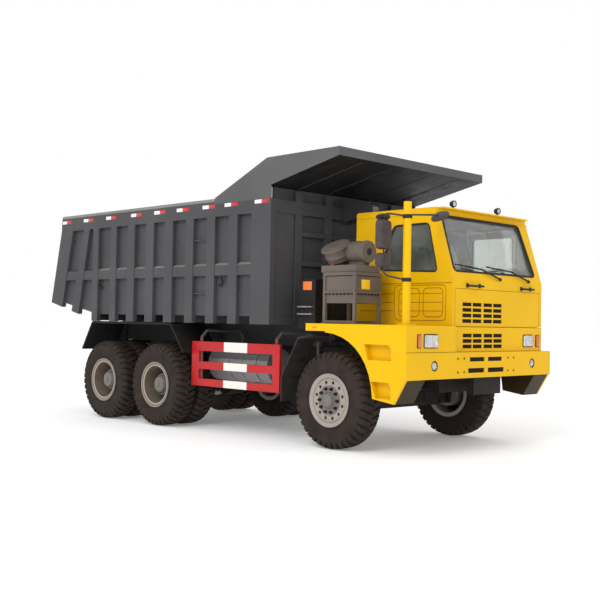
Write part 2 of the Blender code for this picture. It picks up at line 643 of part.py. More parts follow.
def build_cab():
    x0, x1 = CAB_X
    floor = DECK_TOP + GAP
    flap_back = CAB_FRONT + FLAP_THICKNESS + 0.005
    shell = [
        (CAB_REAR, floor),
        (CAB_REAR, CAB_TOP),
        (CAB_TOP_FRONT, CAB_TOP),
        (CAB_FRONT, CAB_BEND),
        (CAB_FRONT, FLAP_Z[1] + 2 * GAP),
        (flap_back, FLAP_Z[1] + 2 * GAP),
        (flap_back, floor),
    ]
    wall = CAB_WALL
    inside = [
        (CAB_REAR - wall, floor + wall),
        (CAB_REAR - wall, CAB_TOP + 0.1),
        (CAB_TOP_FRONT + wall + 0.03, CAB_TOP + 0.1),
        (CAB_TOP_FRONT + wall + 0.03, CAB_TOP),
        (CAB_FRONT + wall + 0.045, CAB_BEND),
        (flap_back + wall, FLAP_Z[1]),
        (flap_back + wall, floor + wall),
    ]
    frame = rake()
    door_hole = [
        (DOOR_Y[0] - GAP, DOOR_Z[0] - PANEL_GAP),
        (DOOR_Y[1] + PANEL_GAP, DOOR_Z[0] - PANEL_GAP),
        (DOOR_Y[1] + PANEL_GAP, DOOR_Z[1] + PANEL_GAP),
        (DOOR_Y[0] - GAP, DOOR_Z[1] + PANEL_GAP),
    ]
    cuts = [
        plate(inside, "X", x0 + wall, x1 - wall),
        plate(rounded(SCREEN, 0.07), "Z", -0.15, 0.10, frame),
        plate(rounded(RIGHT_WINDOW, 0.07), "X", x0 - 0.05, x0 + wall + 0.05),
        plate(door_hole, "X", x1 - wall - 0.05, x1 + 0.05),
        plate(rounded(REAR_WINDOW, 0.07), "Y", CAB_REAR - wall - 0.05, CAB_REAR + 0.05),
    ]
    corner_top = FLAP_Z[1] + 0.05
    corners = [
        block((edge, CAB_FRONT, floor), (flap_edge, flap_back + 0.01, corner_top))
        for edge, flap_edge in ((x0, FLAP_X[0] - PANEL_GAP), (x1, FLAP_X[1] + PANEL_GAP))
    ]
    node("cab_shell", "yellow_paint", [plate(shell, "X", x0, x1), *corners], cuts)

    roof_low = CAB_TOP + GAP
    roof = [
        (CAB_REAR, roof_low),
        (CAB_REAR, roof_low + ROOF_THICKNESS - 0.02),
        (CAB_REAR - 0.03, roof_low + ROOF_THICKNESS),
        (CAB_TOP_FRONT + 0.01, roof_low + ROOF_THICKNESS),
        (CAB_TOP_FRONT + 0.01, roof_low),
    ]
    lip_low = roof_low + ROOF_THICKNESS - 0.022
    lip = block(
        (x0 + 0.04, CAB_TOP_FRONT - 0.085, lip_low),
        (x1 - 0.09, CAB_TOP_FRONT + 0.05, roof_low + ROOF_THICKNESS - 0.0005),
    )
    node("cab_roof", "yellow_paint", [plate(roof, "X", x0, x1), lip])

    gap, thick = GLASS_GAP, GLASS_THICKNESS
    glass_in = -0.020
    screen = plate(rounded(shrunk(SCREEN, gap), 0.07), "Z", glass_in, glass_in - thick, frame)
    node("windshield", "glass", [screen])
    side = plate(rounded(shrunk(RIGHT_WINDOW, gap), 0.07), "X", x0 + 0.018, x0 + 0.018 + thick)
    node("side_window_right", "glass", [side])
    back = plate(rounded(shrunk(REAR_WINDOW, gap), 0.07), "Y", CAB_REAR - 0.018, CAB_REAR - 0.018 - thick)
    node("rear_window", "glass", [back])


def build_door():
    x1 = CAB_X[1]
    hinge = (x1, DOOR_Y[0] - GAP, 0)
    slab = block((x1 - DOOR_THICKNESS, DOOR_Y[0], DOOR_Z[0]), (x1, DOOR_Y[1], DOOR_Z[1]))
    hole = plate(rounded(DOOR_WINDOW, 0.07), "X", x1 - DOOR_THICKNESS - 0.05, x1 + 0.05)
    node("door_left", "yellow_paint", [slab], [hole], pivot=hinge)
    glass_x = x1 - 0.020
    pane = plate(rounded(shrunk(DOOR_WINDOW, GLASS_GAP), 0.07), "X", glass_x, glass_x - GLASS_THICKNESS)
    node("door_window_left", "glass", [pane], pivot=hinge)
    foot = x1 + GAP
    arm_y = -0.99
    housing = (HALF_WIDTH + 0.096, -0.86)
    shapes = [
        mirror_housing((*housing, 2.88), 0.105, 0.055, 0.185),
        mirror_housing((*housing, 2.585), 0.100, 0.055, 0.085),
        rod((*housing, 2.60), (*housing, 2.75), MIRROR_ARM, 8),
    ]
    for foot_z, bend_z, end_z in ((3.05, 3.14, 3.02), (2.36, 2.43, 2.55)):
        straight = [(foot, arm_y, foot_z), (foot + 0.06, arm_y, foot_z)]
        shapes.append(tube([*straight, (*housing, bend_z), (*housing, end_z)], MIRROR_ARM))
    node("mirror_left", "mirror_plastic", shapes, pivot=hinge)


def mirror_housing(centre, half_width, half_depth, half_height):
    """A mirror's rounded housing, upright, with its glass facing the rear."""
    x, y, z = centre
    outline = rounded(
        [
            (x - half_width, z - half_height),
            (x + half_width, z - half_height),
            (x + half_width, z + half_height),
            (x - half_width, z + half_height),
        ],
        half_width * 0.6,
    )
    return plate(outline, "Y", y - half_depth, y + half_depth)


def build_cab_inside():
    x0, x1 = CAB_X[0] + CAB_WALL + GAP, CAB_X[1] - CAB_WALL - PANEL_GAP
    floor = DECK_TOP + GAP + CAB_WALL + GAP
    front = CAB_FRONT + FLAP_THICKNESS + 0.005 + CAB_WALL + GAP
    wheel = Vector((1.02, -0.86, 2.46))
    lean = Vector((0, 0.50, 0.86)).normalized()
    section = [(front, 1.95), (-1.06, 2.00), (-1.04, 2.30), (-1.12, 2.36)]
    section += [(front + 0.02, 2.36), (front, 2.22)]
    rim = bmesh.new()
    bmesh.ops.create_cone(rim, cap_ends=True, segments=20, radius1=0.24, radius2=0.24, depth=0.035)
    tilt = Matrix.Translation(wheel) @ lean.to_track_quat("Z", "Y").to_matrix().to_4x4()
    bore = bmesh.new()
    bmesh.ops.create_cone(bore, cap_ends=True, segments=20, radius1=0.205, radius2=0.205, depth=0.2)
    ring = tidy_mesh(rim, tilt)
    boolean(ring, [tidy_mesh(bore, tilt)], "DIFFERENCE")
    hollow_ring = tidy_mesh(evaluated_bmesh(ring))
    spoke = wheel + Vector((0.222, 0, 0))
    shapes = [
        plate(section, "X", x0, x1),
        hollow_ring,
        rod(wheel - (spoke - wheel), spoke, 0.016, 8),
        rod(wheel + lean * 0.02, wheel - lean * 0.42, 0.030, 10),
    ]
    node("dashboard", "trim_plastic", shapes)
    seat_x = 1.02
    base_top = 2.13
    node(
        "seat_base",
        "trim_plastic",
        [block((seat_x - 0.20, -0.55, floor), (seat_x + 0.20, -0.12, base_top))],
    )
    cushion = [
        (-0.62, base_top + GAP),
        (-0.05, base_top + GAP),
        (0.06, 2.86),
        (0.04, 3.00),
        (-0.06, 3.00),
        (-0.16, 2.30),
        (-0.62, 2.27),
    ]
    node("seat", "seat_cloth", [plate(cushion, "X", seat_x - 0.26, seat_x + 0.26)])


# ---------------------------------------------------------------- what stands on the right deck
def build_air_cleaner():
    foot = DECK_TOP + GAP
    x0, x1, y0, y1, top = -1.530, -0.985, -0.450, 0.150, 2.440
    post = 0.045
    shapes = [
        block((x0 + 0.015, y0 + 0.015, 2.016), (x1 - 0.015, y1 - 0.015, 2.385)),
        block((x0, y0, 2.150), (x1, y1, 2.180)),
        block((x0, y0, top - 0.045), (x1, y1, top)),
        block((x0 + 0.06, y0 + 0.06, 2.35), (x1 - 0.06, y1 - 0.06, 2.42)),
    ]
    for x in (x0, x1 - post):
        for y in (y0, y1 - post):
            shapes.append(block((x, y, foot), (x + post, y + post, top - 0.01)))
        shapes.append(block((x, y0 + 0.01, foot + 0.01), (x + post, y1 - 0.01, foot + 0.045)))
    node("air_cleaner_stand", "filter_paint", shapes)
    low = top + GAP
    tilt = Vector((-0.50, 0, 0.866)).normalized()
    drum = Vector((-1.36, 0.045, 2.732))
    shapes = [
        block((x0 + 0.02, y0 + 0.01, low), (x1 - 0.03, y1 + 0.02, low + 0.10)),
        rod((-1.26, y0 - 0.01, 2.725), (-1.26, y0 + 0.34, 2.725), 0.158, 20),
        block((-1.33, y0 + 0.05, low + 0.05), (-1.19, y0 + 0.30, 2.70)),
        rod(drum - tilt * 0.12, drum + tilt * 0.08, 0.19, 20),
        rod(drum + tilt * 0.07, drum + tilt * 0.12, 0.2145, 20),
        block((-1.40, -0.05, low + 0.05), (-1.24, 0.09, 2.70)),
    ]
    node("air_cleaner", "filter_paint", shapes)


def build_mirror_pole():
    x, y = -1.590, -1.380
    housing = (-1.800, -1.170)
    shapes = [
        rod((x, y, DECK_TOP + GAP), (x, y, 3.310), 0.052, 16),
        mirror_housing((*housing, 2.885), 0.110, 0.055, 0.190),
        mirror_housing((*housing, 2.560), 0.110, 0.055, 0.090),
        rod((*housing, 2.62), (*housing, 2.72), MIRROR_ARM, 8),
        tube([(x, y, 3.14), (x + 0.20, y + 0.01, 3.16), (x + 0.67, y + 0.02, 3.20)], MIRROR_ARM),
    ]
    for foot_z, bend_z, end_z in ((3.12, 3.16, 3.05), (2.31, 2.37, 2.50)):
        elbow = (x - 0.10, y + 0.08, foot_z + 0.02)
        shapes.append(tube([(x, y, foot_z), elbow, (*housing, bend_z), (*housing, end_z)], MIRROR_ARM))
    face = Matrix.Translation((x + 0.705, y + 0.020, 3.195)) @ Matrix.Rotation(radians(-35), 4, "Y")
    disc = bmesh.new()
    bmesh.ops.create_cone(disc, cap_ends=True, segments=16, radius1=0.13, radius2=0.10, depth=0.05)
    shapes.append(tidy_mesh(disc, face))
    node("mirror_pole_right", "mirror_plastic", shapes)


# ---------------------------------------------------------------- flanks
def build_side_guards():
    y0, y1 = GUARD_Y
    for side, s in SIDES.items():
        outer, inner = s * GUARD_X, s * (GUARD_X - 0.045)
        shapes = [block((outer, y0, z0), (inner, y1, z1)) for z0, z1 in GUARD_BARS]
        for low, high in ((y0, y0 + 0.149), (y1 - 0.178, y1)):
            shapes.append(block((outer, low, GUARD_BARS[0][0]), (inner, high, GUARD_BARS[-1][1])))
        back = s * (GUARD_X - 0.045 - 0.020)
        rail = s * (RAIL_OUT + GAP)
        for y in (y0 + 0.13, y1 - 0.17):
            up, down = 1.58, 1.20
            near = s * (RAIL_OUT + 0.10)
            path = [(back, y, 0.80), (back, y, up - 0.10), (back - s * 0.10, y, up)]
            path += [(near + s * 0.08, y, up), (near, y, up - 0.08), (near, y, down), (rail, y, down)]
            shapes.append(tube(path, 0.025, 8))
        node(f"side_guard_{side}", "red_paint", shapes)


def build_tanks():
    rail = RAIL_OUT + GAP
    tank_end = BEFORE_MIDDLE_TYRES - 0.225
    x, z = -1.02, 1.06
    shapes = [rod((x, 1.52, z), (x, tank_end, z), 0.27, 20)]
    for y in (1.80, 2.42):
        shapes.append(block((x, y - 0.04, 1.10), (-rail, y + 0.04, 1.22)))
        shapes.append(rod((x, y - 0.03, z), (x, y + 0.03, z), 0.28, 20))
    node("air_tank_right", "steel_tube", shapes)
    tank = rounded([(0.63, 0.74), (1.29, 0.74), (1.29, 1.34), (0.63, 1.34)], 0.10, 2)
    shapes = [plate(tank, "Y", 1.45, 2.85)]
    for y in (1.80, 2.50):
        shapes.append(block((rail, y - 0.04, 1.10), (0.70, y + 0.04, 1.22)))
    node("fuel_tank_left", "chassis_paint", shapes)
    shapes = [
        block((-1.04, 0.42, 1.46), (-0.32, 0.80, 2.30)),
        block((-1.38, 0.44, 1.66), (-1.00, 0.78, 2.36)),
        block((-RAIL_OUT, 0.50, RAIL_TOP + GAP), (-RAIL_IN, 0.72, 1.50)),
    ]
    node("hydraulic_tank", "chassis_paint", shapes)


def build_rear_mudguards():
    top = BED_BOTTOM - 0.015
    reach = max(0, (TYRE_RADIUS + 0.046) ** 2 - (1.30 - AXLE_Z) ** 2) ** 0.5  # clear of the tyres
    outline = [
        (GUARD_Y[1] + 0.015, 1.235),
        (MIDDLE_AXLE - 0.400, 1.640),
        (MIDDLE_AXLE - 0.370, top),
        (REAR_AXLE + 0.440, top),
        (REAR_AXLE + 0.750, 1.200),
        (REAR_AXLE + 0.725, 1.185),
        (REAR_AXLE + 0.425, top - 0.025),
        (MIDDLE_AXLE - 0.355, top - 0.025),
        (MIDDLE_AXLE - 0.380, 1.628),
        (GUARD_Y[1] + 0.035, 1.218),
    ]
    for side, s in SIDES.items():
        foot = AXLE_Z + TYRE_RADIUS + 0.130
        inner = [
            (MIDDLE_AXLE - 0.380, foot),
            (MIDDLE_AXLE - 0.362, top - 0.012),
            (REAR_AXLE + 0.432, top - 0.012),
            (REAR_AXLE + 0.500, foot),
        ]
        shapes = [
            plate(outline, "X", s * 0.95, s * (BED_HALF_WIDTH - 0.021)),
            plate(inner, "X", s * 0.9501, s * 0.965),
        ]
        for y in (MIDDLE_AXLE - reach, REAR_AXLE + reach):
            shapes.append(block((s * 0.951, y - 0.03, 1.30), (s * 0.99, y + 0.03, top - 0.01)))
            shapes.append(block((s * (RAIL_OUT + GAP), y - 0.025, 1.305), (s * 0.98, y + 0.025, 1.355)))
        node(f"rear_mudguard_{side}", "chassis_paint", shapes)


# ---------------------------------------------------------------- bed
def tail_z(y, lift):
    """Height of the bed's underside line at y, raised by lift: level, then rising to the tail."""
    y1, z1 = BED_TAIL
    share = max(0.0, (y - BED_KICK) / (y1 - BED_KICK))
    return BED_BOTTOM + lift + share * (z1 - BED_BOTTOM)


def rear_edge(z):
    """Where the slanted rear edge of a bed side is at this height."""
    y1, z1 = BED_TAIL
    share = min(1.0, (z - z1) / (BAND_Z[0] - z1))
    return y1 + share * (BED_TOP_REAR - y1)


POST_PLACES = (  # start and end of each, ahead of the kick
    (3.838, 3.640),
    (3.312, 3.115),
    (2.782, 2.588),
    (2.251, 2.033),
    (1.732, 1.517),
    (1.193, 0.986),
    (0.650, 0.471),
    (0.093, -0.080),
)
STRAIGHT_POSTS = [(BED_KICK - start, BED_KICK - end) for start, end in POST_PLACES]


def build_bed_side(side, s):
    pivot = (0, *PIVOT)
    skin_low = BED_FLOOR - FLOOR_THICKNESS - BED_BOTTOM
    outer, skin = s * BED_HALF_WIDTH, s * BED_SKIN
    buried = s * (BED_SKIN + SKIN_THICKNESS - 0.010)
    low, high = BAND_Z
    skin_outline = [
        (BED_FRONT + 0.01, tail_z(0, skin_low)),
        (BED_KICK, tail_z(0, skin_low)),
        (BED_TAIL[0] - 0.035, tail_z(BED_TAIL[0] - 0.035, skin_low * 0.5)),
        (rear_edge(low) - 0.01, high - 0.01),
        (BED_FRONT + 0.01, high - 0.01),
    ]
    shapes = [plate(skin_outline, "X", skin, s * (BED_SKIN + SKIN_THICKNESS))]
    shapes.append(block((skin + s * 0.0001, BED_FRONT, BED_BOTTOM), (outer, 1.501, low + 0.02)))
    for y0, y1 in STRAIGHT_POSTS:
        shapes.append(block((buried, y0, BED_BOTTOM + 0.0001), (outer - s * 0.0001, y1, low + 0.02)))
    second = [(BED_KICK + 0.200, low + 0.02), (BED_KICK + 0.391, low + 0.02)]
    for y in (BED_KICK + 0.746, BED_KICK + 0.519):
        second.append((y, tail_z(y, 0)))
    last_foot = BED_TAIL[0] - 0.375
    last = [(BED_TOP_REAR - 0.391, low + 0.02), (rear_edge(low), low + 0.02), BED_TAIL]
    last.append((last_foot, tail_z(last_foot, 0)))
    for post in (second, last):
        shapes.append(plate(post, "X", buried, outer - s * 0.0001))
    band = [(BED_FRONT, low), (rear_edge(low), low), (BED_TOP_REAR, high), (BED_FRONT, high)]
    shapes.append(plate(band, "X", skin + s * 0.0002, outer))
    z0, z1 = MID_RAIL_Z
    face = BED_HALF_WIDTH - 0.009
    rail = [(BED_SKIN + 0.02, z0), (face, z0), (face, z1), (BED_SKIN + 0.02, z1 + 0.037)]
    shapes.append(plate([(s * x, z) for x, z in rail], "Y", 1.40, rear_edge(z1) - 0.05))
    rail_x, rail_z = s * (BED_HALF_WIDTH - TOP_RAIL_RADIUS), high + 0.045
    y0, y1 = CANOPY_RAMP[0] + 0.001, BED_TOP_REAR - 0.01
    shapes.append(rod((rail_x, y0, rail_z), (rail_x, y1, rail_z), TOP_RAIL_RADIUS, 12))
    shapes.append(block((rail_x - 0.047, y0, high - 0.02), (rail_x + 0.047, y1, rail_z)))
    node(f"bed_side_{side}", "grey_paint", shapes, pivot=pivot)


def build_bed_floor():
    pivot = (0, *PIVOT)
    half = BED_SKIN - GAP
    lift = BED_FLOOR - BED_BOTTOM
    front = BED_FRONT + 0.09
    tail = BED_TAIL[0] - 0.035
    floor = [
        (front, BED_FLOOR),
        (BED_KICK, BED_FLOOR),
        (tail, tail_z(tail, lift)),
        (tail, tail_z(tail, lift - FLOOR_THICKNESS)),
        (BED_KICK, BED_FLOOR - FLOOR_THICKNESS),
        (front, BED_FLOOR - FLOOR_THICKNESS),
    ]
    shapes = [plate(floor, "X", -half, half)]
    sill_end = PIVOT[0] - 0.15
    for s in (-1, 1):
        x0, x1 = s * RAIL_IN, s * RAIL_OUT
        shapes.append(block((x0, front + 0.02, RAIL_TOP + GAP), (x1, sill_end, BED_FLOOR - 0.01)))
        ear = [
            (PIVOT[0] - 0.30, tail_z(PIVOT[0] - 0.30, lift - 0.01)),
            (PIVOT[0] + 0.30, tail_z(PIVOT[0] + 0.30, lift - 0.01)),
            *arc(PIVOT, 0.12, 10, -190, 8),
        ]
        shapes.append(plate(ear, "X", s * (RAIL_OUT + 0.020), s * (RAIL_OUT + 0.085)))
    for y0, y1 in STRAIGHT_POSTS:
        middle = (y0 + y1) / 2
        low = (-half + 0.02, middle - 0.05, BED_BOTTOM + 0.01)
        shapes.append(block(low, (half - 0.02, middle + 0.05, BED_FLOOR - 0.01)))
    shapes.append(
        block(
            (-RAIL_OUT - 0.05, PIVOT[0] + 0.06, PIVOT[1] + 0.36),
            (RAIL_OUT + 0.05, PIVOT[0] + 0.18, tail_z(PIVOT[0] + 0.06, lift - 0.01)),
        )
    )
    bores = [
        rod((s * RAIL_OUT, *PIVOT), (s * (RAIL_OUT + 0.24), *PIVOT), PIVOT_SHAFT + 0.004, 24)
        for s in (-1, 1)
    ]
    node("bed_floor", "grey_paint", shapes, bores, pivot=pivot)


WALL_POSTS = (-1.10, -0.45, 0.45, 1.10)
WALL_CORNER = 1.190  # where the nearly flush corner panels begin
WALL_BACK = BED_FRONT + 0.0897


def canopy_under(y):
    """Height of the canopy's sloping underside at y."""
    (tip_y, tip_z), (root_y, root_z) = CANOPY_TIP, CANOPY_ROOT
    return root_z + (y - root_y) * (tip_z - root_z) / (tip_y - root_y)


def build_bed_front():
    pivot = (0, *PIVOT)
    half = BED_SKIN - GAP
    back = WALL_BACK
    top = canopy_under(back) - GAP
    skin = back - SKIN_THICKNESS
    sill = BED_FLOOR - FLOOR_THICKNESS - 0.005
    shapes = [
        block((-half, skin, BED_BOTTOM), (half, back, top)),
        block((-half + 0.0001, BED_FRONT, BAND_Z[0]), (half - 0.0001, skin + 0.01, BAND_Z[1])),
        block((-half + 0.0001, BED_FRONT + 0.001, BED_BOTTOM + 0.001), (half - 0.0001, skin + 0.01, sill)),
    ]
    shapes += mirrored_block(
        (WALL_CORNER, BED_FRONT + 0.012, BED_BOTTOM + 0.0008),
        (half - 0.0002, skin + 0.01, BAND_Z[0] + 0.01),
    )
    for x in WALL_POSTS:
        low = (x - 0.07, BED_FRONT + 0.0005, BED_BOTTOM + 0.0005)
        shapes.append(block(low, (x + 0.07, skin + 0.01, top - 0.03)))
    slot_low = (-HOIST_SLOT, BED_FRONT - 0.05, BED_BOTTOM - 0.05)
    ram_slot = block(slot_low, (HOIST_SLOT, back + 0.05, sill + 0.01))
    eye_y, eye_z = HOIST_EYE
    for s in (-1, 1):
        ear = [
            (skin + 0.01, eye_z - 0.20),
            (skin + 0.01, eye_z + 0.20),
            *arc(HOIST_EYE, 0.09, 100, 260, 6),
        ]
        inner = EYE_HALF_WIDTH + GLASS_GAP
        shapes.append(plate(ear, "X", s * inner, s * (inner + 0.03)))
    node("bed_front_wall", "grey_paint", shapes, [ram_slot], pivot=pivot)


def build_canopy():
    pivot = (0, *PIVOT)
    foot = BAND_Z[1] + GAP
    tip_y, tip_z = CANOPY_TIP
    root_y, root_z = CANOPY_ROOT
    ramp_y, ramp_z = CANOPY_RAMP
    cheek = [
        (ramp_y, foot),
        (ramp_y, ramp_z),
        (CANOPY_PEAK_Y, CANOPY_TOP - 0.004),
        (tip_y, CANOPY_TOP),
        (tip_y, tip_z),
        (root_y, root_z),
        (root_y, foot),
    ]
    shapes = [
        plate(cheek, "X", s * BED_HALF_WIDTH, s * (BED_HALF_WIDTH - CANOPY_PLATE)) for s in (-1, 1)
    ]
    sheet = [
        (WALL_BACK, canopy_under(WALL_BACK)),
        (tip_y + 0.001, tip_z + 0.0003),
        (tip_y + 0.001, tip_z + CANOPY_PLATE),
        (WALL_BACK, canopy_under(WALL_BACK) + CANOPY_PLATE),
    ]
    half = BED_HALF_WIDTH - 0.001
    shapes.append(plate(sheet, "X", -half, half))
    shapes.append(block((-half, tip_y + 0.0005, tip_z + 0.002), (half, tip_y + 0.02, CANOPY_TOP - 0.0005)))
    node("canopy", "grey_paint", shapes, pivot=pivot)


# ---------------------------------------------------------------- hoist
def build_hoist():
    """A four-part telescopic ram, closed: each part reaches a little above the one that holds it."""
    foot = Vector((0, *HOIST_FOOT))
    eye = Vector((0, *HOIST_EYE))
    along = (eye - foot).normalized()
    length = (eye - foot).length
    tops = (length - 0.30, length - 0.25, length - 0.20, length)
    names = ("hoist_barrel", "hoist_stage_1", "hoist_stage_2", "hoist_rod")
    for i, (name, radius, top) in enumerate(zip(names, HOIST_RADII, tops)):
        start = 0.14 + 0.03 * i
        shapes = [rod(foot + along * start, foot + along * top, radius, 20)]
        cuts = []
        if i == 0:
            half = EYE_HALF_WIDTH
            shapes.append(rod((-half, *HOIST_FOOT), (half, *HOIST_FOOT), 0.075, 16))
            shapes.append(rod(foot, foot + along * 0.16, 0.06, 12))
        if i < 3:
            bore = HOIST_RADII[i + 1] + HOIST_RUN
            cuts.append(rod(foot + along * (start + 0.02), foot + along * (top + 0.05), bore, 20))
        else:
            half = EYE_HALF_WIDTH
            shapes.append(rod((-half, *HOIST_EYE), (half, *HOIST_EYE), 0.075, 16))
        node(name, "chassis_paint" if i == 0 else "steel_tube", shapes, cuts, pivot=(0, *HOIST_FOOT))


def main():
    build_chassis()
    build_engine()
    build_front_axle()
    build_bogie()
    build_wheels()
    build_bumper()
    build_fascia_and_flap()
    build_decks()
    build_cab()
    build_door()
    build_cab_inside()
    build_air_cleaner()
    build_mirror_pole()
    build_side_guards()
    build_tanks()
    build_rear_mudguards()
    for side, s in SIDES.items():
        build_bed_side(side, s)
    build_bed_floor()
    build_bed_front()
    build_canopy()
    build_hoist()


main()
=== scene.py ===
"""Looks of the mining dump truck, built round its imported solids.

World frame, metres: +Z up, the truck faces -Y, +X is its left (driver's) side.
"""

import json
from math import cos, pi, radians, sin

import bmesh
import bpy
from mathutils import Matrix, Vector


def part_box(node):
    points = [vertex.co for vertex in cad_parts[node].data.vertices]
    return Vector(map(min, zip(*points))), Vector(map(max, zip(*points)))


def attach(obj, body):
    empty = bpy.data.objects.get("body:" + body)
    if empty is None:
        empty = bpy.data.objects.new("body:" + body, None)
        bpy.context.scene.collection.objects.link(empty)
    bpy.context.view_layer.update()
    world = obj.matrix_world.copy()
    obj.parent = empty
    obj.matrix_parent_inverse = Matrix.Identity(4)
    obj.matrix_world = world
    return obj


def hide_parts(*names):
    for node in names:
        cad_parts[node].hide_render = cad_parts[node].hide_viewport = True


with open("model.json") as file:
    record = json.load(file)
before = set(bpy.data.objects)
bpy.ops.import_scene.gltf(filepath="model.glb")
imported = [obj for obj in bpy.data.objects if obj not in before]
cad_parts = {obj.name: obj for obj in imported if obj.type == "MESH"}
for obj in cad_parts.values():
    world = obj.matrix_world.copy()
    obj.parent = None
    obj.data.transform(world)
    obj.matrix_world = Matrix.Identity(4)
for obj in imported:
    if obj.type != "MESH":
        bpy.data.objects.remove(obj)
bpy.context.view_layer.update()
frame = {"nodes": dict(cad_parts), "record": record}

nodes = frame["nodes"]
SIDES = {"right": -1, "left": 1}


# ---------------------------------------------------------------- places read from the frame
def low(node):
    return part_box(node)[0]


def high(node):
    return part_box(node)[1]


def middle(node):
    a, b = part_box(node)
    return (a + b) / 2


FRONT_AXLE = middle("front_tyre_right")
MIDDLE_AXLE = middle("middle_tyres_right")
REAR_AXLE = middle("rear_tyres_right")
BUMPER_FACE = low("bumper").y
CAB_FACE = low("cab_shell").y
FASCIA_FACE = low("front_fascia").y
CAB_RIGHT, CAB_LEFT = low("cab_shell").x, high("cab_shell").x
DECK_TOP = high("deck_right").z
ROOF_TOP = high("cab_roof").z
BED_SIDE = high("bed_side_left").x
BED_FRONT = low("bed_side_right").y
BED_SKIN = 1.6095  # the side sheet's outer face, between the posts
AXLE_Y = FRONT_AXLE.y


# ---------------------------------------------------------------- materials
def new_material(name):
    material = bpy.data.materials.new(name)
    material.use_nodes = True
    tree = material.node_tree
    return material, tree, tree.nodes["Principled BSDF"]


def feed(tree, socket, value):
    """Links a socket or sets a constant."""
    if isinstance(value, bpy.types.NodeSocket):
        tree.links.new(value, socket)
    else:
        socket.default_value = (*value, 1) if isinstance(value, tuple) else value


def node(tree, kind, settings=(), inputs=()):
    """A shader node with its settings and inputs filled in."""
    made = tree.nodes.new("ShaderNode" + kind)
    for name, value in dict(settings).items():
        setattr(made, name, value)
    for name, value in dict(inputs).items():
        feed(tree, made.inputs[name], value)
    return made


def place_of(tree):
    return node(tree, "TexCoord").outputs["Object"]


def noise(tree, scale, detail=3.0, roughness=0.55):
    inputs = {"Scale": scale, "Detail": detail, "Roughness": roughness, "Vector": place_of(tree)}
    return node(tree, "TexNoise", inputs=inputs).outputs["Fac"]


def ramp(tree, source, stops):
    made = node(tree, "ValToRGB", inputs={"Fac": source})
    for i, (at, colour) in enumerate(stops):
        stop = made.color_ramp.elements[i] if i < 2 else made.color_ramp.elements.new(at)
        stop.position = at
        stop.color = (*colour, 1)
    return made.outputs["Color"]


def level(tree, source, start, end, to_start, to_end):
    inputs = {"Value": source, "From Min": start, "From Max": end, "To Min": to_start, "To Max": to_end}
    return node(tree, "MapRange", inputs=inputs).outputs["Result"]


def mixed(tree, share, first, second):
    """Two colours, each a socket or a constant, mixed by a socket or a number."""
    made = node(tree, "Mix", {"data_type": "RGBA", "blend_type": "MIX"}, {"Factor": share, 6: first, 7: second})
    return made.outputs[2]


def maths(tree, operation, *values):
    return node(tree, "Math", {"operation": operation}, enumerate(values)).outputs["Value"]


def axis_value(tree, axis):
    return node(tree, "SeparateXYZ", inputs={"Vector": place_of(tree)}).outputs[axis]


def bumped(tree, shader, height, strength, distance, normal=None):
    inputs = {"Strength": strength, "Distance": distance, "Height": height}
    if normal is not None:
        inputs["Normal"] = normal
    feed(tree, shader.inputs["Normal"], node(tree, "Bump", inputs=inputs).outputs["Normal"])


def edge_normal(tree, radius):
    return node(tree, "Bevel", {"samples": 4}, {"Radius": radius}).outputs["Normal"]


def edge_share(tree, rounded):
    """How near a sharp edge a point is, from 0 to 1."""
    flat = node(tree, "NewGeometry").outputs["True Normal"]
    dot = node(tree, "VectorMath", {"operation": "DOT_PRODUCT"}, {0: rounded, 1: flat})
    return level(tree, dot.outputs["Value"], 0.995, 0.80, 0.0, 1.0)


DUST = (0.27, 0.22, 0.17)


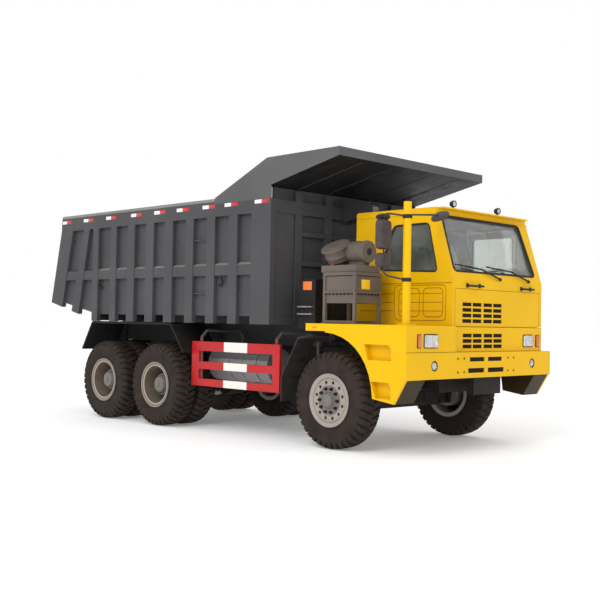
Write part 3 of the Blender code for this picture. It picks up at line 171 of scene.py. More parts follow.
def paint(name, colour, rough=(0.3, 0.45), metallic=0.0, dust=0.25, dust_top=1.6, wear=0.3, coat=0.0,
          edge=(0.6, 0.6, 0.6), vary=0.12, radius=0.006, grain=220.0, stripe=None, inner=None, under=None, spec=0.5,
          hide=None):
    """Sprayed enamel: slight colour drift, orange peel, worn edges, and dust that thins with height, with painted shade
    on downward faces where asked.
    """
    material, tree, shader = new_material(name)
    drift = noise(tree, 1.3, 4.0)
    dark = tuple(c * (1 - vary) for c in colour)
    light = tuple(min(1.0, c * (1 + vary)) for c in colour)
    base = ramp(tree, drift, ((0.3, dark), (0.7, light)))
    if stripe:
        y0, y1, white = stripe
        y = axis_value(tree, "Y")
        inside = maths(tree, "MULTIPLY", maths(tree, "GREATER_THAN", y, y0), maths(tree, "LESS_THAN", y, y1))
        base = mixed(tree, inside, base, white)
    if inner:
        reach, plain = inner
        inside = maths(tree, "LESS_THAN", maths(tree, "ABSOLUTE", axis_value(tree, "X")), reach)
        base = mixed(tree, inside, base, plain)
    # painted shade: faces that point down take the darker underside colour
    if under:
        flat = node(tree, "NewGeometry").outputs["True Normal"]
        up = node(tree, "SeparateXYZ", inputs={"Vector": flat}).outputs["Z"]
        base = mixed(tree, level(tree, up, -0.5, -0.8, 0.0, 1.0), base, under)
    # a masked colour: grey on the cab's inner faces, painted shade and dirt inside the deck skirts
    if hide:
        share, plain = hide(tree)
        base = mixed(tree, share, base, plain)
    rounded = edge_normal(tree, radius)
    if wear > 0:
        chips = level(tree, noise(tree, 34.0, 5.0, 0.7), 0.50, 0.66, 0.0, wear)
        base = mixed(tree, maths(tree, "MULTIPLY", edge_share(tree, rounded), chips), base, edge)
    grime = level(tree, noise(tree, 5.5, 6.0, 0.65), 0.38, 0.72, 0.0, 1.0)
    height = level(tree, axis_value(tree, "Z"), 0.3, dust_top, dust, dust * 0.15)
    base = mixed(tree, maths(tree, "MULTIPLY", grime, height), base, DUST)
    feed(tree, shader.inputs["Base Color"], base)
    feed(tree, shader.inputs["Roughness"], level(tree, grime, 0.0, 1.0, rough[0], rough[1]))
    shader.inputs["Metallic"].default_value = metallic
    shader.inputs["Specular IOR Level"].default_value = spec
    shader.inputs["Coat Weight"].default_value = coat
    shader.inputs["Coat Roughness"].default_value = 0.12
    bumped(tree, shader, noise(tree, grain, 2.0), 0.10, 0.002, rounded)
    return material


def rubber(name, colour, dust, rough=0.82, scale=9.0, dusty_radius=None):
    """Rubber or moulded black plastic with a brown bloom and a fine grain."""
    material, tree, shader = new_material(name)
    bloom = level(tree, noise(tree, scale, 6.0, 0.6), 0.30, 0.75, 0.15, 1.0)
    base = mixed(tree, bloom, colour, dust)
    feed(tree, shader.inputs["Base Color"], base)
    feed(tree, shader.inputs["Roughness"], level(tree, bloom, 0, 1, rough - 0.1, min(1.0, rough + 0.1)))
    shader.inputs["Specular IOR Level"].default_value = 0.2
    bumped(tree, shader, noise(tree, 160.0, 3.0), 0.25, 0.0015)
    return material


def cloth(name, colour, shade):
    """A woven cover: crossed wave threads, with soft stains and a sheen."""
    material, tree, shader = new_material(name)
    threads = []
    for direction in ("X", "Z"):
        inputs = {"Scale": 110.0, "Vector": place_of(tree)}
        threads.append(node(tree, "TexWave", {"bands_direction": direction}, inputs).outputs["Fac"])
    weave = maths(tree, "MULTIPLY", *threads)
    stain = level(tree, noise(tree, 6.0, 4.0), 0.35, 0.7, 0.0, 0.6)
    base = mixed(tree, stain, colour, shade)
    base = mixed(tree, level(tree, weave, 0, 1, 0.25, 0.0), base, shade)
    feed(tree, shader.inputs["Base Color"], base)
    shader.inputs["Roughness"].default_value = 0.85
    shader.inputs["Sheen Weight"].default_value = 0.3
    bumped(tree, shader, weave, 0.35, 0.001)
    return material


def clear(name, tint, rough, alpha, transmission=0.9):
    """Glass with a faint film of dust."""
    material, tree, shader = new_material(name)
    film = level(tree, noise(tree, 3.5, 5.0), 0.35, 0.75, 0.0, 0.35)
    feed(tree, shader.inputs["Base Color"], mixed(tree, film, tint, (0.55, 0.56, 0.55)))
    feed(tree, shader.inputs["Roughness"], level(tree, film, 0, 0.35, rough, rough + 0.06))
    shader.inputs["Transmission Weight"].default_value = transmission
    shader.inputs["IOR"].default_value = 1.45
    shader.inputs["Alpha"].default_value = alpha
    return material


def metal(name, colour, rough=(0.25, 0.45), metallic=1.0):
    material, tree, shader = new_material(name)
    drift = noise(tree, 14.0, 5.0)
    dark = tuple(c * 0.75 for c in colour)
    feed(tree, shader.inputs["Base Color"], ramp(tree, drift, ((0.3, dark), (0.7, colour))))
    feed(tree, shader.inputs["Roughness"], level(tree, drift, 0.3, 0.7, *rough))
    shader.inputs["Metallic"].default_value = metallic
    bumped(tree, shader, noise(tree, 260.0, 2.0), 0.08, 0.001)
    return material


def all_of(tree, *shares):
    made = shares[0]
    for share in shares[1:]:
        made = maths(tree, "MULTIPLY", made, share)
    return made


BEND_Z, TOP_FRONT = 2.370, -1.135  # the height where the cab's front leans back, and its top edge, from the axle
# the second colour is painted shade and dirt inside the deck skirts
INSIDE_GREY, SKIRT_SHADE_AND_DIRT = (0.075, 0.080, 0.068), (0.030, 0.021, 0.008)


def inside_cab(tree):
    """The cab's inner faces and window edges are grey, from just behind each outer face."""
    x, y, z = (axis_value(tree, axis) for axis in "XYZ")
    lean = (AXLE_Y + TOP_FRONT - CAB_FACE) / (low("cab_roof").z - BEND_Z)
    above_bend = maths(tree, "MAXIMUM", maths(tree, "SUBTRACT", z, BEND_Z), 0.0)
    front = maths(tree, "ADD", maths(tree, "MULTIPLY", above_bend, lean), CAB_FACE + 0.014)
    above = ((x, CAB_RIGHT + 0.012), (y, front), (z, 2.25))
    below = ((x, CAB_LEFT - 0.012), (y, high("cab_shell").y - 0.004))
    share = all_of(tree, *(maths(tree, "GREATER_THAN", *pair) for pair in above),
                   *(maths(tree, "LESS_THAN", *pair) for pair in below))
    return share, INSIDE_GREY


def inside_skirt(tree):
    """Inside their outer panels the deck skirts are painted dark: painted shade of the hollow behind the plate, with
    dirt.
    """
    x, y, z = (axis_value(tree, axis) for axis in "XYZ")
    across = maths(tree, "ABSOLUTE", x)
    hollow = all_of(tree, maths(tree, "LESS_THAN", across, 1.600), maths(tree, "LESS_THAN", z, 1.375))
    slope = all_of(tree, maths(tree, "LESS_THAN", across, 1.670), maths(tree, "LESS_THAN", z, 1.029),
                   maths(tree, "LESS_THAN", y, AXLE_Y - 1.245))
    return maths(tree, "MAXIMUM", hollow, slope), SKIRT_SHADE_AND_DIRT


def yellow(name, hide=None):
    return paint(name, (0.74, 0.425, 0.0005), (0.36, 0.50), dust=0.035, wear=0.25, edge=(0.95, 0.66, 0.05), vary=0.04,
                 spec=0.14, hide=hide)


GUARD_Y = (low("side_guard_right").y, high("side_guard_right").y)
GUARD_STRIPE = (GUARD_Y[0] + 0.710, GUARD_Y[0] + 1.250)

M = {
    "yellow_paint": yellow("yellow_enamel"),
    "cab_paint": yellow("yellow_cab_enamel", hide=inside_cab),
    # the deck skirts' inner faces carry painted shade and dirt
    "deck_paint": yellow("yellow_deck_enamel_with_painted_skirt_shade", hide=inside_skirt),
    "seam_shade": paint("seam_shade", (0.30, 0.155, 0.002), (0.5, 0.6), wear=0, dust=0.1, spec=0.1),
    "grey_paint": paint("grey_enamel", (0.055, 0.055, 0.060), (0.50, 0.66), dust=0.07, dust_top=3.2,
                        edge=(0.15, 0.15, 0.155), vary=0.15, spec=0.3),
    # a lighter grey than the bed's sides, with painted shade on the canopy's downward faces
    "canopy_paint": paint("lighter_grey_enamel_with_painted_underside_shade", (0.085, 0.086, 0.090), (0.50, 0.66), dust=0.10, dust_top=5.0,
                          edge=(0.22, 0.22, 0.225), vary=0.12, under=(0.006, 0.006, 0.007), spec=0.3),
    "rail_paint": paint("pale_grey_enamel", (0.19, 0.19, 0.18), (0.45, 0.6), dust=0.25, dust_top=5.0, vary=0.15),
    # also used for the dark screens of painted shade under the bed
    "chassis_paint": paint("black_enamel_and_painted_shade", (0.010, 0.009, 0.0085), (0.6, 0.8), dust=0.10, dust_top=1.5,
                           edge=(0.08, 0.065, 0.055), vary=0.2, spec=0.25),
    "wheel_paint": paint("wheel_enamel", (0.33, 0.285, 0.25), (0.42, 0.6), metallic=0.10, dust=0.25, dust_top=1.4,
                         edge=(0.20, 0.13, 0.09), wear=0.45, radius=0.003, spec=0.4),
    "hub_paint": paint("hub_enamel", (0.15, 0.140, 0.130), (0.42, 0.6), dust=0.20, dust_top=1.4, spec=0.4),
    "barrel_paint": paint("barrel_enamel", (0.17, 0.130, 0.095), (0.5, 0.7), dust=0.20, dust_top=1.4, spec=0.3),
    "red_paint": paint("red_and_white_enamel", (0.43, 0.0050, 0.0080), (0.34, 0.46), dust=0.08, coat=0.04,
                       edge=(0.60, 0.18, 0.15), vary=0.08, stripe=(*GUARD_STRIPE, (0.80, 0.75, 0.70)),
                       inner=(1.453, (0.10, 0.095, 0.09)), spec=0.35),
    "filter_paint": paint("filter_enamel", (0.105, 0.086, 0.070), (0.5, 0.7), dust=0.22, dust_top=3.4,
                          edge=(0.22, 0.19, 0.16), vary=0.15, spec=0.35),
    "mirror_plastic": rubber("mirror_moulding", (0.036, 0.028, 0.030), (0.080, 0.062, 0.064), 0.5),
    "tyre_rubber": rubber("tyre_rubber", (0.0125, 0.0092, 0.0080), (0.044, 0.031, 0.025), 0.85, 6.0),
    "black_rubber": rubber("black_moulding", (0.012, 0.011, 0.011), (0.040, 0.034, 0.030), 0.7),
    "trim_plastic": rubber("cab_trim", (0.045, 0.045, 0.046), (0.080, 0.078, 0.075), 0.6, 4.0),
    "lining": rubber("cab_wall_lining", (0.060, 0.063, 0.052), (0.095, 0.098, 0.083), 0.7, 3.0),
    "headliner": rubber("cab_lining", (0.17, 0.18, 0.16), (0.24, 0.25, 0.22), 0.85, 3.0),
    "wheel_plastic": rubber("steering_wheel_moulding", (0.20, 0.20, 0.19), (0.28, 0.28, 0.26), 0.6, 4.0),
    "seat_cloth": cloth("seat_weave", (0.72, 0.88, 0.78), (0.52, 0.64, 0.56)),
    "glass": clear("window_glass", (0.55, 0.60, 0.55), 0.04, 0.40),
    "side_glass": clear("side_window_glass", (0.10, 0.115, 0.095), 0.05, 0.72, 0.5),
    "door_glass": clear("door_window_glass", (0.42, 0.54, 0.46), 0.04, 0.42),
    "lens": clear("lamp_lens", (0.92, 0.93, 0.93), 0.08, 0.6),
    "amber": clear("amber_lens", (0.85, 0.20, 0.02), 0.15, 1.0, 0.35),
    "steel_tube": metal("silver_enamel", (0.33, 0.33, 0.33), (0.35, 0.55), 0.6),
    "chrome": metal("bright_metal", (0.80, 0.80, 0.80), (0.10, 0.25)),
    "mirror_face": metal("mirror_face", (0.72, 0.75, 0.77), (0.03, 0.06)),
    # painted shade that fills slots and openings
    "dark_void": rubber("painted_shade_in_openings", (0.0060, 0.0045, 0.0035), (0.020, 0.013, 0.008), 0.9),
    "reflector_white": paint("white_reflector", (0.78, 0.78, 0.76), (0.2, 0.3), wear=0, dust=0.1, coat=0.2),
    "reflector_red": paint("red_reflector", (0.52, 0.010, 0.014), (0.2, 0.3), wear=0, dust=0.1, coat=0.2),
    "label_orange": paint("blank_orange_label", (0.80, 0.17, 0.025), (0.4, 0.5), wear=0, dust=0.1),
    "label_yellow": paint("blank_yellow_label", (0.80, 0.50, 0.01), (0.4, 0.5), wear=0, dust=0.1),
}

SPECIAL_PAINT = {
    "canopy": "canopy_paint", "cab_shell": "cab_paint", "cab_roof": "cab_paint", "deck_right": "deck_paint",
    "deck_left": "deck_paint", "side_window_right": "side_glass", "door_window_left": "door_glass",
    "rear_window": "side_glass",
}
for name, piece in nodes.items():
    slot = next(s["material_slot"] for s in frame["record"]["subparts"] if s["node"] == name)
    piece.data.materials.clear()
    piece.data.materials.append(M[SPECIAL_PAINT.get(name, slot)])


# ---------------------------------------------------------------- shapes
class Shape:
    """Solids gathered in one mesh, each with a material, that becomes one piece riding on a body."""

    def __init__(self):
        self.bm = bmesh.new()
        self.materials = []
        self.current = 0

    def use(self, name):
        if name not in self.materials:
            self.materials.append(name)
        self.current = self.materials.index(name)
        return self

    def mark(self, faces):
        for face in faces:
            face.material_index = self.current
        return faces

    def absorb(self, other):
        """Moves the solids of a scratch bmesh into this shape."""
        mesh = bpy.data.meshes.new("scratch")
        bmesh.ops.recalc_face_normals(other, faces=other.faces)
        other.to_mesh(mesh)
        other.free()
        before = len(self.bm.faces)
        self.bm.from_mesh(mesh)
        self.bm.faces.ensure_lookup_table()
        self.mark(self.bm.faces[before:])
        bpy.data.meshes.remove(mesh)
        return self

    def box(self, a, b, bevel=0.004, matrix=None, segments=2):
        a, b = Vector(map(min, a, b)), Vector(map(max, a, b))
        bm = bmesh.new()
        bmesh.ops.create_cube(bm, size=1)
        bmesh.ops.transform(bm, verts=bm.verts, matrix=Matrix.Translation((a + b) / 2) @ Matrix.Diagonal((*(b - a), 1)))
        bevel = min(bevel, 0.45 * min(b - a))
        bmesh.ops.bevel(bm, geom=bm.edges[:], offset=bevel, segments=segments, profile=0.6, affect="EDGES")
        if matrix is not None:
            bmesh.ops.transform(bm, verts=bm.verts, matrix=matrix)
        return self.absorb(bm)

    def rod(self, a, b, radius, sides=24, end_radius=None, bevel=0.0):
        a, b = Vector(a), Vector(b)
        bm = bmesh.new()
        end = radius if end_radius is None else end_radius
        bmesh.ops.create_cone(bm, cap_ends=True, segments=sides, radius1=radius, radius2=end, depth=(b - a).length)
        if bevel:
            rims = [e for e in bm.edges if abs(e.verts[0].co.z - e.verts[1].co.z) < 1e-6]
            bmesh.ops.bevel(bm, geom=rims, offset=bevel, segments=2, profile=0.6, affect="EDGES")
        turn = (b - a).to_track_quat("Z", "Y").to_matrix().to_4x4()
        bmesh.ops.transform(bm, verts=bm.verts, matrix=Matrix.Translation((a + b) / 2) @ turn)
        return self.absorb(bm)

    def turned(self, profile, centre, axis=(1, 0, 0), sides=64, closed=False):
        """(along, radius) pairs turned about an axis through the centre."""
        bm = bmesh.new()
        along = Vector(axis).normalized()
        side = along.orthogonal().normalized()
        up = along.cross(side)
        rings = []
        for x, r in profile:
            if r < 1e-6:
                rings.append([bm.verts.new(Vector(centre) + along * x)] * sides)
                continue
            rings.append([bm.verts.new(Vector(centre) + along * x + side * a + up * b) for a, b in circle(r, sides)])
        pairs = list(zip(rings, rings[1:])) + ([(rings[-1], rings[0])] if closed else [])
        for first, second in pairs:
            for i in range(sides):
                j = (i + 1) % sides
                corners = []
                for v in (first[i], first[j], second[j], second[i]):
                    if v not in corners:
                        corners.append(v)
                if len(corners) > 2:
                    bm.faces.new(corners)
        return self.absorb(bm)

    def tube(self, points, radius, sides=10, closed=False, smooth=0):
        """A round bar along a chain of points, rounded by corner cutting."""
        path = [Vector(p) for p in points]
        for _ in range(smooth):
            cut = [] if closed else [path[0]]
            count = len(path)
            for i in range(count if closed else count - 1):
                p, q = path[i], path[(i + 1) % count]
                cut += [p.lerp(q, 0.25), p.lerp(q, 0.75)]
            path = cut if closed else cut + [path[-1]]
        bm = bmesh.new()
        count = len(path)
        rings = []
        normal = None
        for i in range(count):
            before = path[i - 1] if (i or closed) else path[0]
            after = path[(i + 1) % count] if (i < count - 1 or closed) else path[-1]
            tangent = (after - before).normalized()
            if normal is None:
                normal = tangent.orthogonal().normalized()
            normal = (normal - tangent * normal.dot(tangent)).normalized()
            other = tangent.cross(normal)
            rings.append([bm.verts.new(path[i] + normal * a + other * b) for a, b in circle(radius, sides)])
        for i in range(count if closed else count - 1):
            first, second = rings[i], rings[(i + 1) % count]
            shift = 0
            if closed and i == count - 1:
                shift = min(range(sides), key=lambda k: (second[k].co - first[0].co).length)
            for k in range(sides):
                n = (k + 1) % sides
                bm.faces.new((first[k], first[n], second[(n + shift) % sides], second[(k + shift) % sides]))
        if not closed:
            bm.faces.new(rings[0][::-1])
            bm.faces.new(rings[-1])
        return self.absorb(bm)

    def plate(self, outline, matrix, thickness, bevel=0.0, holes=()):
        """A flat outline in the matrix's XY plane, thickened along its Z, with round or cut holes."""
        curve = bpy.data.curves.new("outline", "CURVE")
        curve.dimensions = "2D"
        curve.fill_mode = "BOTH"
        curve.extrude = thickness / 2
        for ring in (outline, *holes):
            spline = curve.splines.new("POLY")
            spline.points.add(len(ring) - 1)
            for point, (x, y) in zip(spline.points, ring):
                point.co = (x, y, 0, 1)
            spline.use_cyclic_u = True
        source = bpy.data.objects.new("outline", curve)
        bpy.context.scene.collection.objects.link(source)
        bpy.context.view_layer.update()
        mesh = bpy.data.meshes.new_from_object(source.evaluated_get(bpy.context.evaluated_depsgraph_get()))
        bm = bmesh.new()
        bm.from_mesh(mesh)
        bpy.data.objects.remove(source)
        bpy.data.curves.remove(curve)
        bpy.data.meshes.remove(mesh)
        bmesh.ops.remove_doubles(bm, verts=bm.verts, dist=1e-5)
        bmesh.ops.transform(bm, verts=bm.verts, matrix=matrix)
        if bevel:
            rims = [e for e in bm.edges if len(e.link_faces) == 2 and e.calc_face_angle() > 1.2]
            bmesh.ops.bevel(bm, geom=rims, offset=bevel, segments=2, profile=0.6, affect="EDGES")
        return self.absorb(bm)

    def done(self, name, body, slot, replaces=(), angle=35):
        mesh = bpy.data.meshes.new(name)
        self.bm.to_mesh(mesh)
        self.bm.free()
        mesh.shade_smooth()
        mesh.set_sharp_from_angle(angle=radians(angle))
        for material in self.materials:
            mesh.materials.append(M[material])
        piece = bpy.data.objects.new(name, mesh)
        bpy.context.scene.collection.objects.link(piece)
        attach(piece, body)
        if replaces:
            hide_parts(*replaces)
        return piece


def lofted(rings, wrap=False):
    """A skin through rings of points, capped at both ends unless it wraps round."""
    bm = bmesh.new()
    rings = [[bm.verts.new(point) for point in ring] for ring in rings]
    for first, second in zip(rings, rings[1:] + rings[:1] if wrap else rings[1:]):
        for i in range(len(first)):
            j = (i + 1) % len(first)
            bm.faces.new((first[i], first[j], second[j], second[i]))
    if not wrap:
        bm.faces.new(rings[0][::-1])
        bm.faces.new(rings[-1])
    return bm


def laid(outline, matrix, lift=0.0):
    """A flat outline's points, placed by a matrix."""
    return [matrix @ Vector((x, y, lift)) for x, y in outline]


def circle(radius, count=24, centre=(0, 0)):
    angles = [2 * pi * i / count for i in range(count)]
    return [(centre[0] + radius * cos(a), centre[1] + radius * sin(a)) for a in angles]


def rounded(points, radius, steps=5):
    """An outline with its corners replaced by short arcs."""
    made = []
    count = len(points)
    for i in range(count):
        before, here, after = (Vector(points[(i + k) % count]) for k in (-1, 0, 1))
        start = here + (before - here).normalized() * radius
        end = here + (after - here).normalized() * radius
        for k in range(steps + 1):
            t = k / steps
            made.append(tuple((1 - t) ** 2 * start + 2 * t * (1 - t) * here + t**2 * end))
    return made


def rect(x0, y0, x1, y1):
    return [(x0, y0), (x1, y0), (x1, y1), (x0, y1)]


def facing(axis, place):
    """A frame whose XY plane is seen square on from outside: 'front' (-Y), 'right' (-X), 'left' (+X), 'up'."""
    rows = {
        "front": ((1, 0, 0), (0, 0, 1), (0, -1, 0)),
        "back": ((-1, 0, 0), (0, 0, 1), (0, 1, 0)),
        "right": ((0, -1, 0), (0, 0, 1), (-1, 0, 0)),
        "left": ((0, 1, 0), (0, 0, 1), (1, 0, 0)),
        "up": ((1, 0, 0), (0, 1, 0), (0, 0, 1)),
    }[axis]
    return Matrix.Translation(place) @ Matrix(rows).transposed().to_4x4()


def around(hub, x, radius, count, phase=0.0):
    """Points spaced evenly round a wheel's axis."""
    angles = [2 * pi * (i + phase) / count for i in range(count)]
    return [hub + Vector((x, radius * cos(a), radius * sin(a))) for a in angles]


def stacked(shape, at, s, parts):
    """Washer, nut and stud end in line: (how far out it ends, radius, sides) for each."""
    start = 0.0
    for end, radius, sides in parts:
        a, b = at + Vector((s * start, 0, 0)), at + Vector((s * end, 0, 0))
        shape.rod(a, b, radius, sides, bevel=0.003 if sides == 6 else 0.0)
        start = end


def bolt(shape, at, axis, size=0.014, height=0.010):
    """A washer and a six-sided head."""
    at, axis = Vector(at), Vector(axis).normalized()
    shape.rod(at, at + axis * height * 0.3, size * 1.5, 14)
    shape.rod(at + axis * height * 0.3, at + axis * height, size, 6)


# ---------------------------------------------------------------- wheels
LUGS = 38
LUG_DEPTH = 0.026
LUG_STEPS = (0.0, 0.25, 0.29, 0.49, 0.53, 0.74, 0.78, 0.97)  # shares of one pitch
RAISED = {-1: (0, 0, 1, 1, 1, 1, 1, 1), 1: (1, 1, 1, 1, 0, 0, 1, 1)}  # lug or groove at each step, by flank
TREAD_HALF_WIDTH = 0.1875
LUG_SLANT = 0.55
SHOULDER_R, CROWN_R = 0.63, 0.655
SIDEWALL = [  # (offset from the tyre's centre, radius), from the bead outwards
    (0.1460, 0.322), (0.1580, 0.338), (0.1600, 0.365), (0.1700, 0.380), (0.1730, 0.400), (0.1700, 0.412),
    (0.1730, 0.420), (0.1775, 0.424), (0.1775, 0.434), (0.1815, 0.450), (0.1860, 0.500), (0.1865, 0.540),
    (0.1835, 0.556), (0.1855, 0.562),
]
TREAD = [  # (offset, radius, how much of a groove's depth reaches it)
    (0.1830, 0.585, 0.15), (0.1800, 0.600, 0.75), (0.1740, 0.622, 1.0), (0.1640, 0.645, 1.0), (0.1500, 0.660, 1.0),
    (0.1300, 0.668, 1.0), (0.0950, 0.6715, 1.0), (0.0500, 0.674, 1.0), (0.0180, 0.6745, 0.85),
]
FLANK = [(x, r, 0.0) for x, r in SIDEWALL] + TREAD
WHEEL_NUTS = 10
RIM_LIP = [(0.178, 0.360), (0.183, 0.370), (0.176, 0.371), (0.171, 0.362), (0.166, 0.322), (0.148, 0.317)]
RIM_INNER = [(-0.150, 0.318), (-0.172, 0.322), (-0.176, 0.368), (-0.184, 0.372), (-0.186, 0.366)]


def add_tyre(shape, centre):
    """A treaded tyre: each flank has its own run of slanted lugs, offset by half a pitch from the other's."""
    flank = [(s * x, r, share, s) for s in (-1, 1) for x, r, share in (FLANK if s < 0 else FLANK[::-1])]
    rings = []
    for lug in range(LUGS):
        for k, step in enumerate(LUG_STEPS):
            ring = []
            for x, r, share, s in flank:
                depth = LUG_DEPTH * share * (1 - RAISED[s][k])
                angle = 2 * pi * (lug + step + LUG_SLANT * abs(x) / TREAD_HALF_WIDTH) / LUGS
                flat = r - depth * (1.0 if r > SHOULDER_R else 0.25)
                inward = 0.0 if r > CROWN_R else depth * 0.7 * s
                ring.append((centre.x + x - inward, centre.y + flat * sin(angle), centre.z + flat * cos(angle)))
            rings.append(ring)
    return shape.absorb(lofted(rings, wrap=True))


def front_wheel(side, s):
    centre = Vector((s * abs(middle(f"front_tyre_{side}").x), AXLE_Y, FRONT_AXLE.z))
    tyre = Shape().use("tyre_rubber")
    add_tyre(tyre, centre)
    body = f"front_wheel_{side}"
    tyre.done(f"front_tyre_{side}_treaded", body, "tyre_rubber", [f"front_tyre_{side}"], 32)

    hub = Vector((0, centre.y, centre.z))
    rim = Shape().use("wheel_paint")
    c = abs(centre.x)
    well = [(-0.180, 0.312), (-0.150, 0.300), (0.040, 0.292), (0.150, 0.300), (0.172, 0.312)]
    section = RIM_INNER + well + RIM_LIP + [(0.100, 0.310), (-0.100, 0.310)]
    rim.turned([(s * (c + x), r) for x, r in section], hub, sides=72, closed=True)
    ring = [(0.158, 0.306), (0.166, 0.300), (0.163, 0.288), (0.150, 0.280), (0.142, 0.292)]
    rim.turned([(s * (c + x), r) for x, r in ring], hub, sides=72, closed=True)
    disc_x = c + 0.158
    holes = [circle(0.0235, 14, (0.250 * cos(a), 0.250 * sin(a))) for a in (2 * pi * (i + 0.5) / 12 for i in range(12))]
    disc = facing("right" if s < 0 else "left", (s * disc_x, hub.y, hub.z))
    rim.plate(circle(0.296, 72), disc, 0.022, 0.003, [*holes, circle(0.10, 36)])
    # a dark ring of painted shade behind the disc's holes
    rim.use("dark_void").turned([(s * (disc_x - 0.05), 0.21), (s * (disc_x - 0.03), 0.21), (s * (disc_x - 0.03), 0.29),
                                 (s * (disc_x - 0.05), 0.29)], hub, sides=48, closed=True)
    rim.use("hub_paint").turned([(s * x, r) for x, r in (
        (disc_x + 0.006, 0.208), (disc_x + 0.018, 0.202), (disc_x + 0.020, 0.120), (disc_x + 0.004, 0.110))],
        hub, sides=48, closed=True)
    rim.use("chassis_paint")
    for at in around(hub, s * (disc_x + 0.018), 0.165, WHEEL_NUTS):
        stacked(rim, at, s, ((0.012, 0.024, 16), (0.036, 0.0185, 6), (0.052, 0.010, 12)))
    rim.use("hub_paint")
    nose = [(-0.205, 0), (-0.205, 0.20), (0.138, 0.20), (0.148, 0.118), (0.180, 0.112), (0.186, 0.106), (0.186, 0.088),
            (0.206, 0.084), (0.212, 0.074), (0.212, 0.050), (0.218, 0.046), (0.218, 0)]
    rim.turned([(s * (c + x), r) for x, r in nose], hub, sides=40)
    for at in around(hub, s * (c + 0.186), 0.098, 8, 0.5):
        bolt(rim, at, (s, 0, 0), 0.006, 0.008)
    rim.done(f"front_rim_{side}_detailed", body, "wheel_paint", [f"front_rim_{side}"])


def rear_wheels(place, side, s):
    box_low, box_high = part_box(f"{place}_tyres_{side}")
    y = middle(f"{place}_tyres_{side}").y
    half = (high("front_tyre_left").x - low("front_tyre_left").x) / 2
    outer = max(abs(box_low.x), abs(box_high.x)) - half
    inner = min(abs(box_low.x), abs(box_high.x)) + half
    body = f"{place}_wheel_{side}"
    tyres = Shape().use("tyre_rubber")
    for x in (inner, outer):
        add_tyre(tyres, Vector((s * x, y, FRONT_AXLE.z)))
    tyres.done(f"{place}_tyres_{side}_treaded", body, "tyre_rubber", [f"{place}_tyres_{side}"], 32)
    hub = Vector((0, y, FRONT_AXLE.z))
    rim = Shape().use("wheel_paint")
    section = RIM_INNER + [(-0.180, 0.308), (-0.150, 0.296), (0.150, 0.296), (0.170, 0.306)] + RIM_LIP
    for c in (inner, outer):
        rim.turned([(s * (c + x), r) for x, r in section], hub, sides=72, closed=True)
    web = outer - 0.190
    rim.use("barrel_paint")
    liner = [(-0.180, 0.2950), (0.150, 0.2955), (0.1665, 0.3030), (0.1795, 0.3540), (0.1760, 0.3545), (0.160, 0.3010),
             (0.148, 0.2925), (-0.180, 0.2920)]
    rim.turned([(s * (outer + x), r) for x, r in liner], hub, sides=72, closed=True)
    dish = [(web - 0.02, 0.296), (web + 0.006, 0.290), (web + 0.012, 0.240), (web + 0.012, 0.10), (web - 0.012, 0.10)]
    rim.turned([(s * x, r) for x, r in dish], hub, sides=72, closed=True)
    rim.turned([(s * x, r) for x, r in ((inner - 0.22, 0), (inner - 0.22, 0.24), (web, 0.24), (web, 0))], hub, sides=40)
    rim.use("filter_paint")
    for at in around(hub, s * (web + 0.010), 0.215, WHEEL_NUTS, 0.25):
        stacked(rim, at, s, ((0.030, 0.019, 6), (0.046, 0.010, 12)))
    rim.use("hub_paint")
    cap = [(-0.190, 0), (-0.190, 0.188), (-0.02, 0.180), (0, 0.172), (0.020, 0.180), (0.030, 0.174), (0.034, 0.150),
           (0.070, 0.142), (0.100, 0.118), (0.110, 0.080), (0.110, 0.040), (0.122, 0.036), (0.124, 0)]
    rim.turned([(s * (outer + x), r) for x, r in cap], hub, sides=48)
    for at in around(hub, s * (outer + 0.032), 0.161, WHEEL_NUTS):
        bolt(rim, at, (s, 0, 0), 0.008, 0.010)
    rim.done(f"{place}_rims_{side}_detailed", body, "wheel_paint", [f"{place}_rims_{side}"])


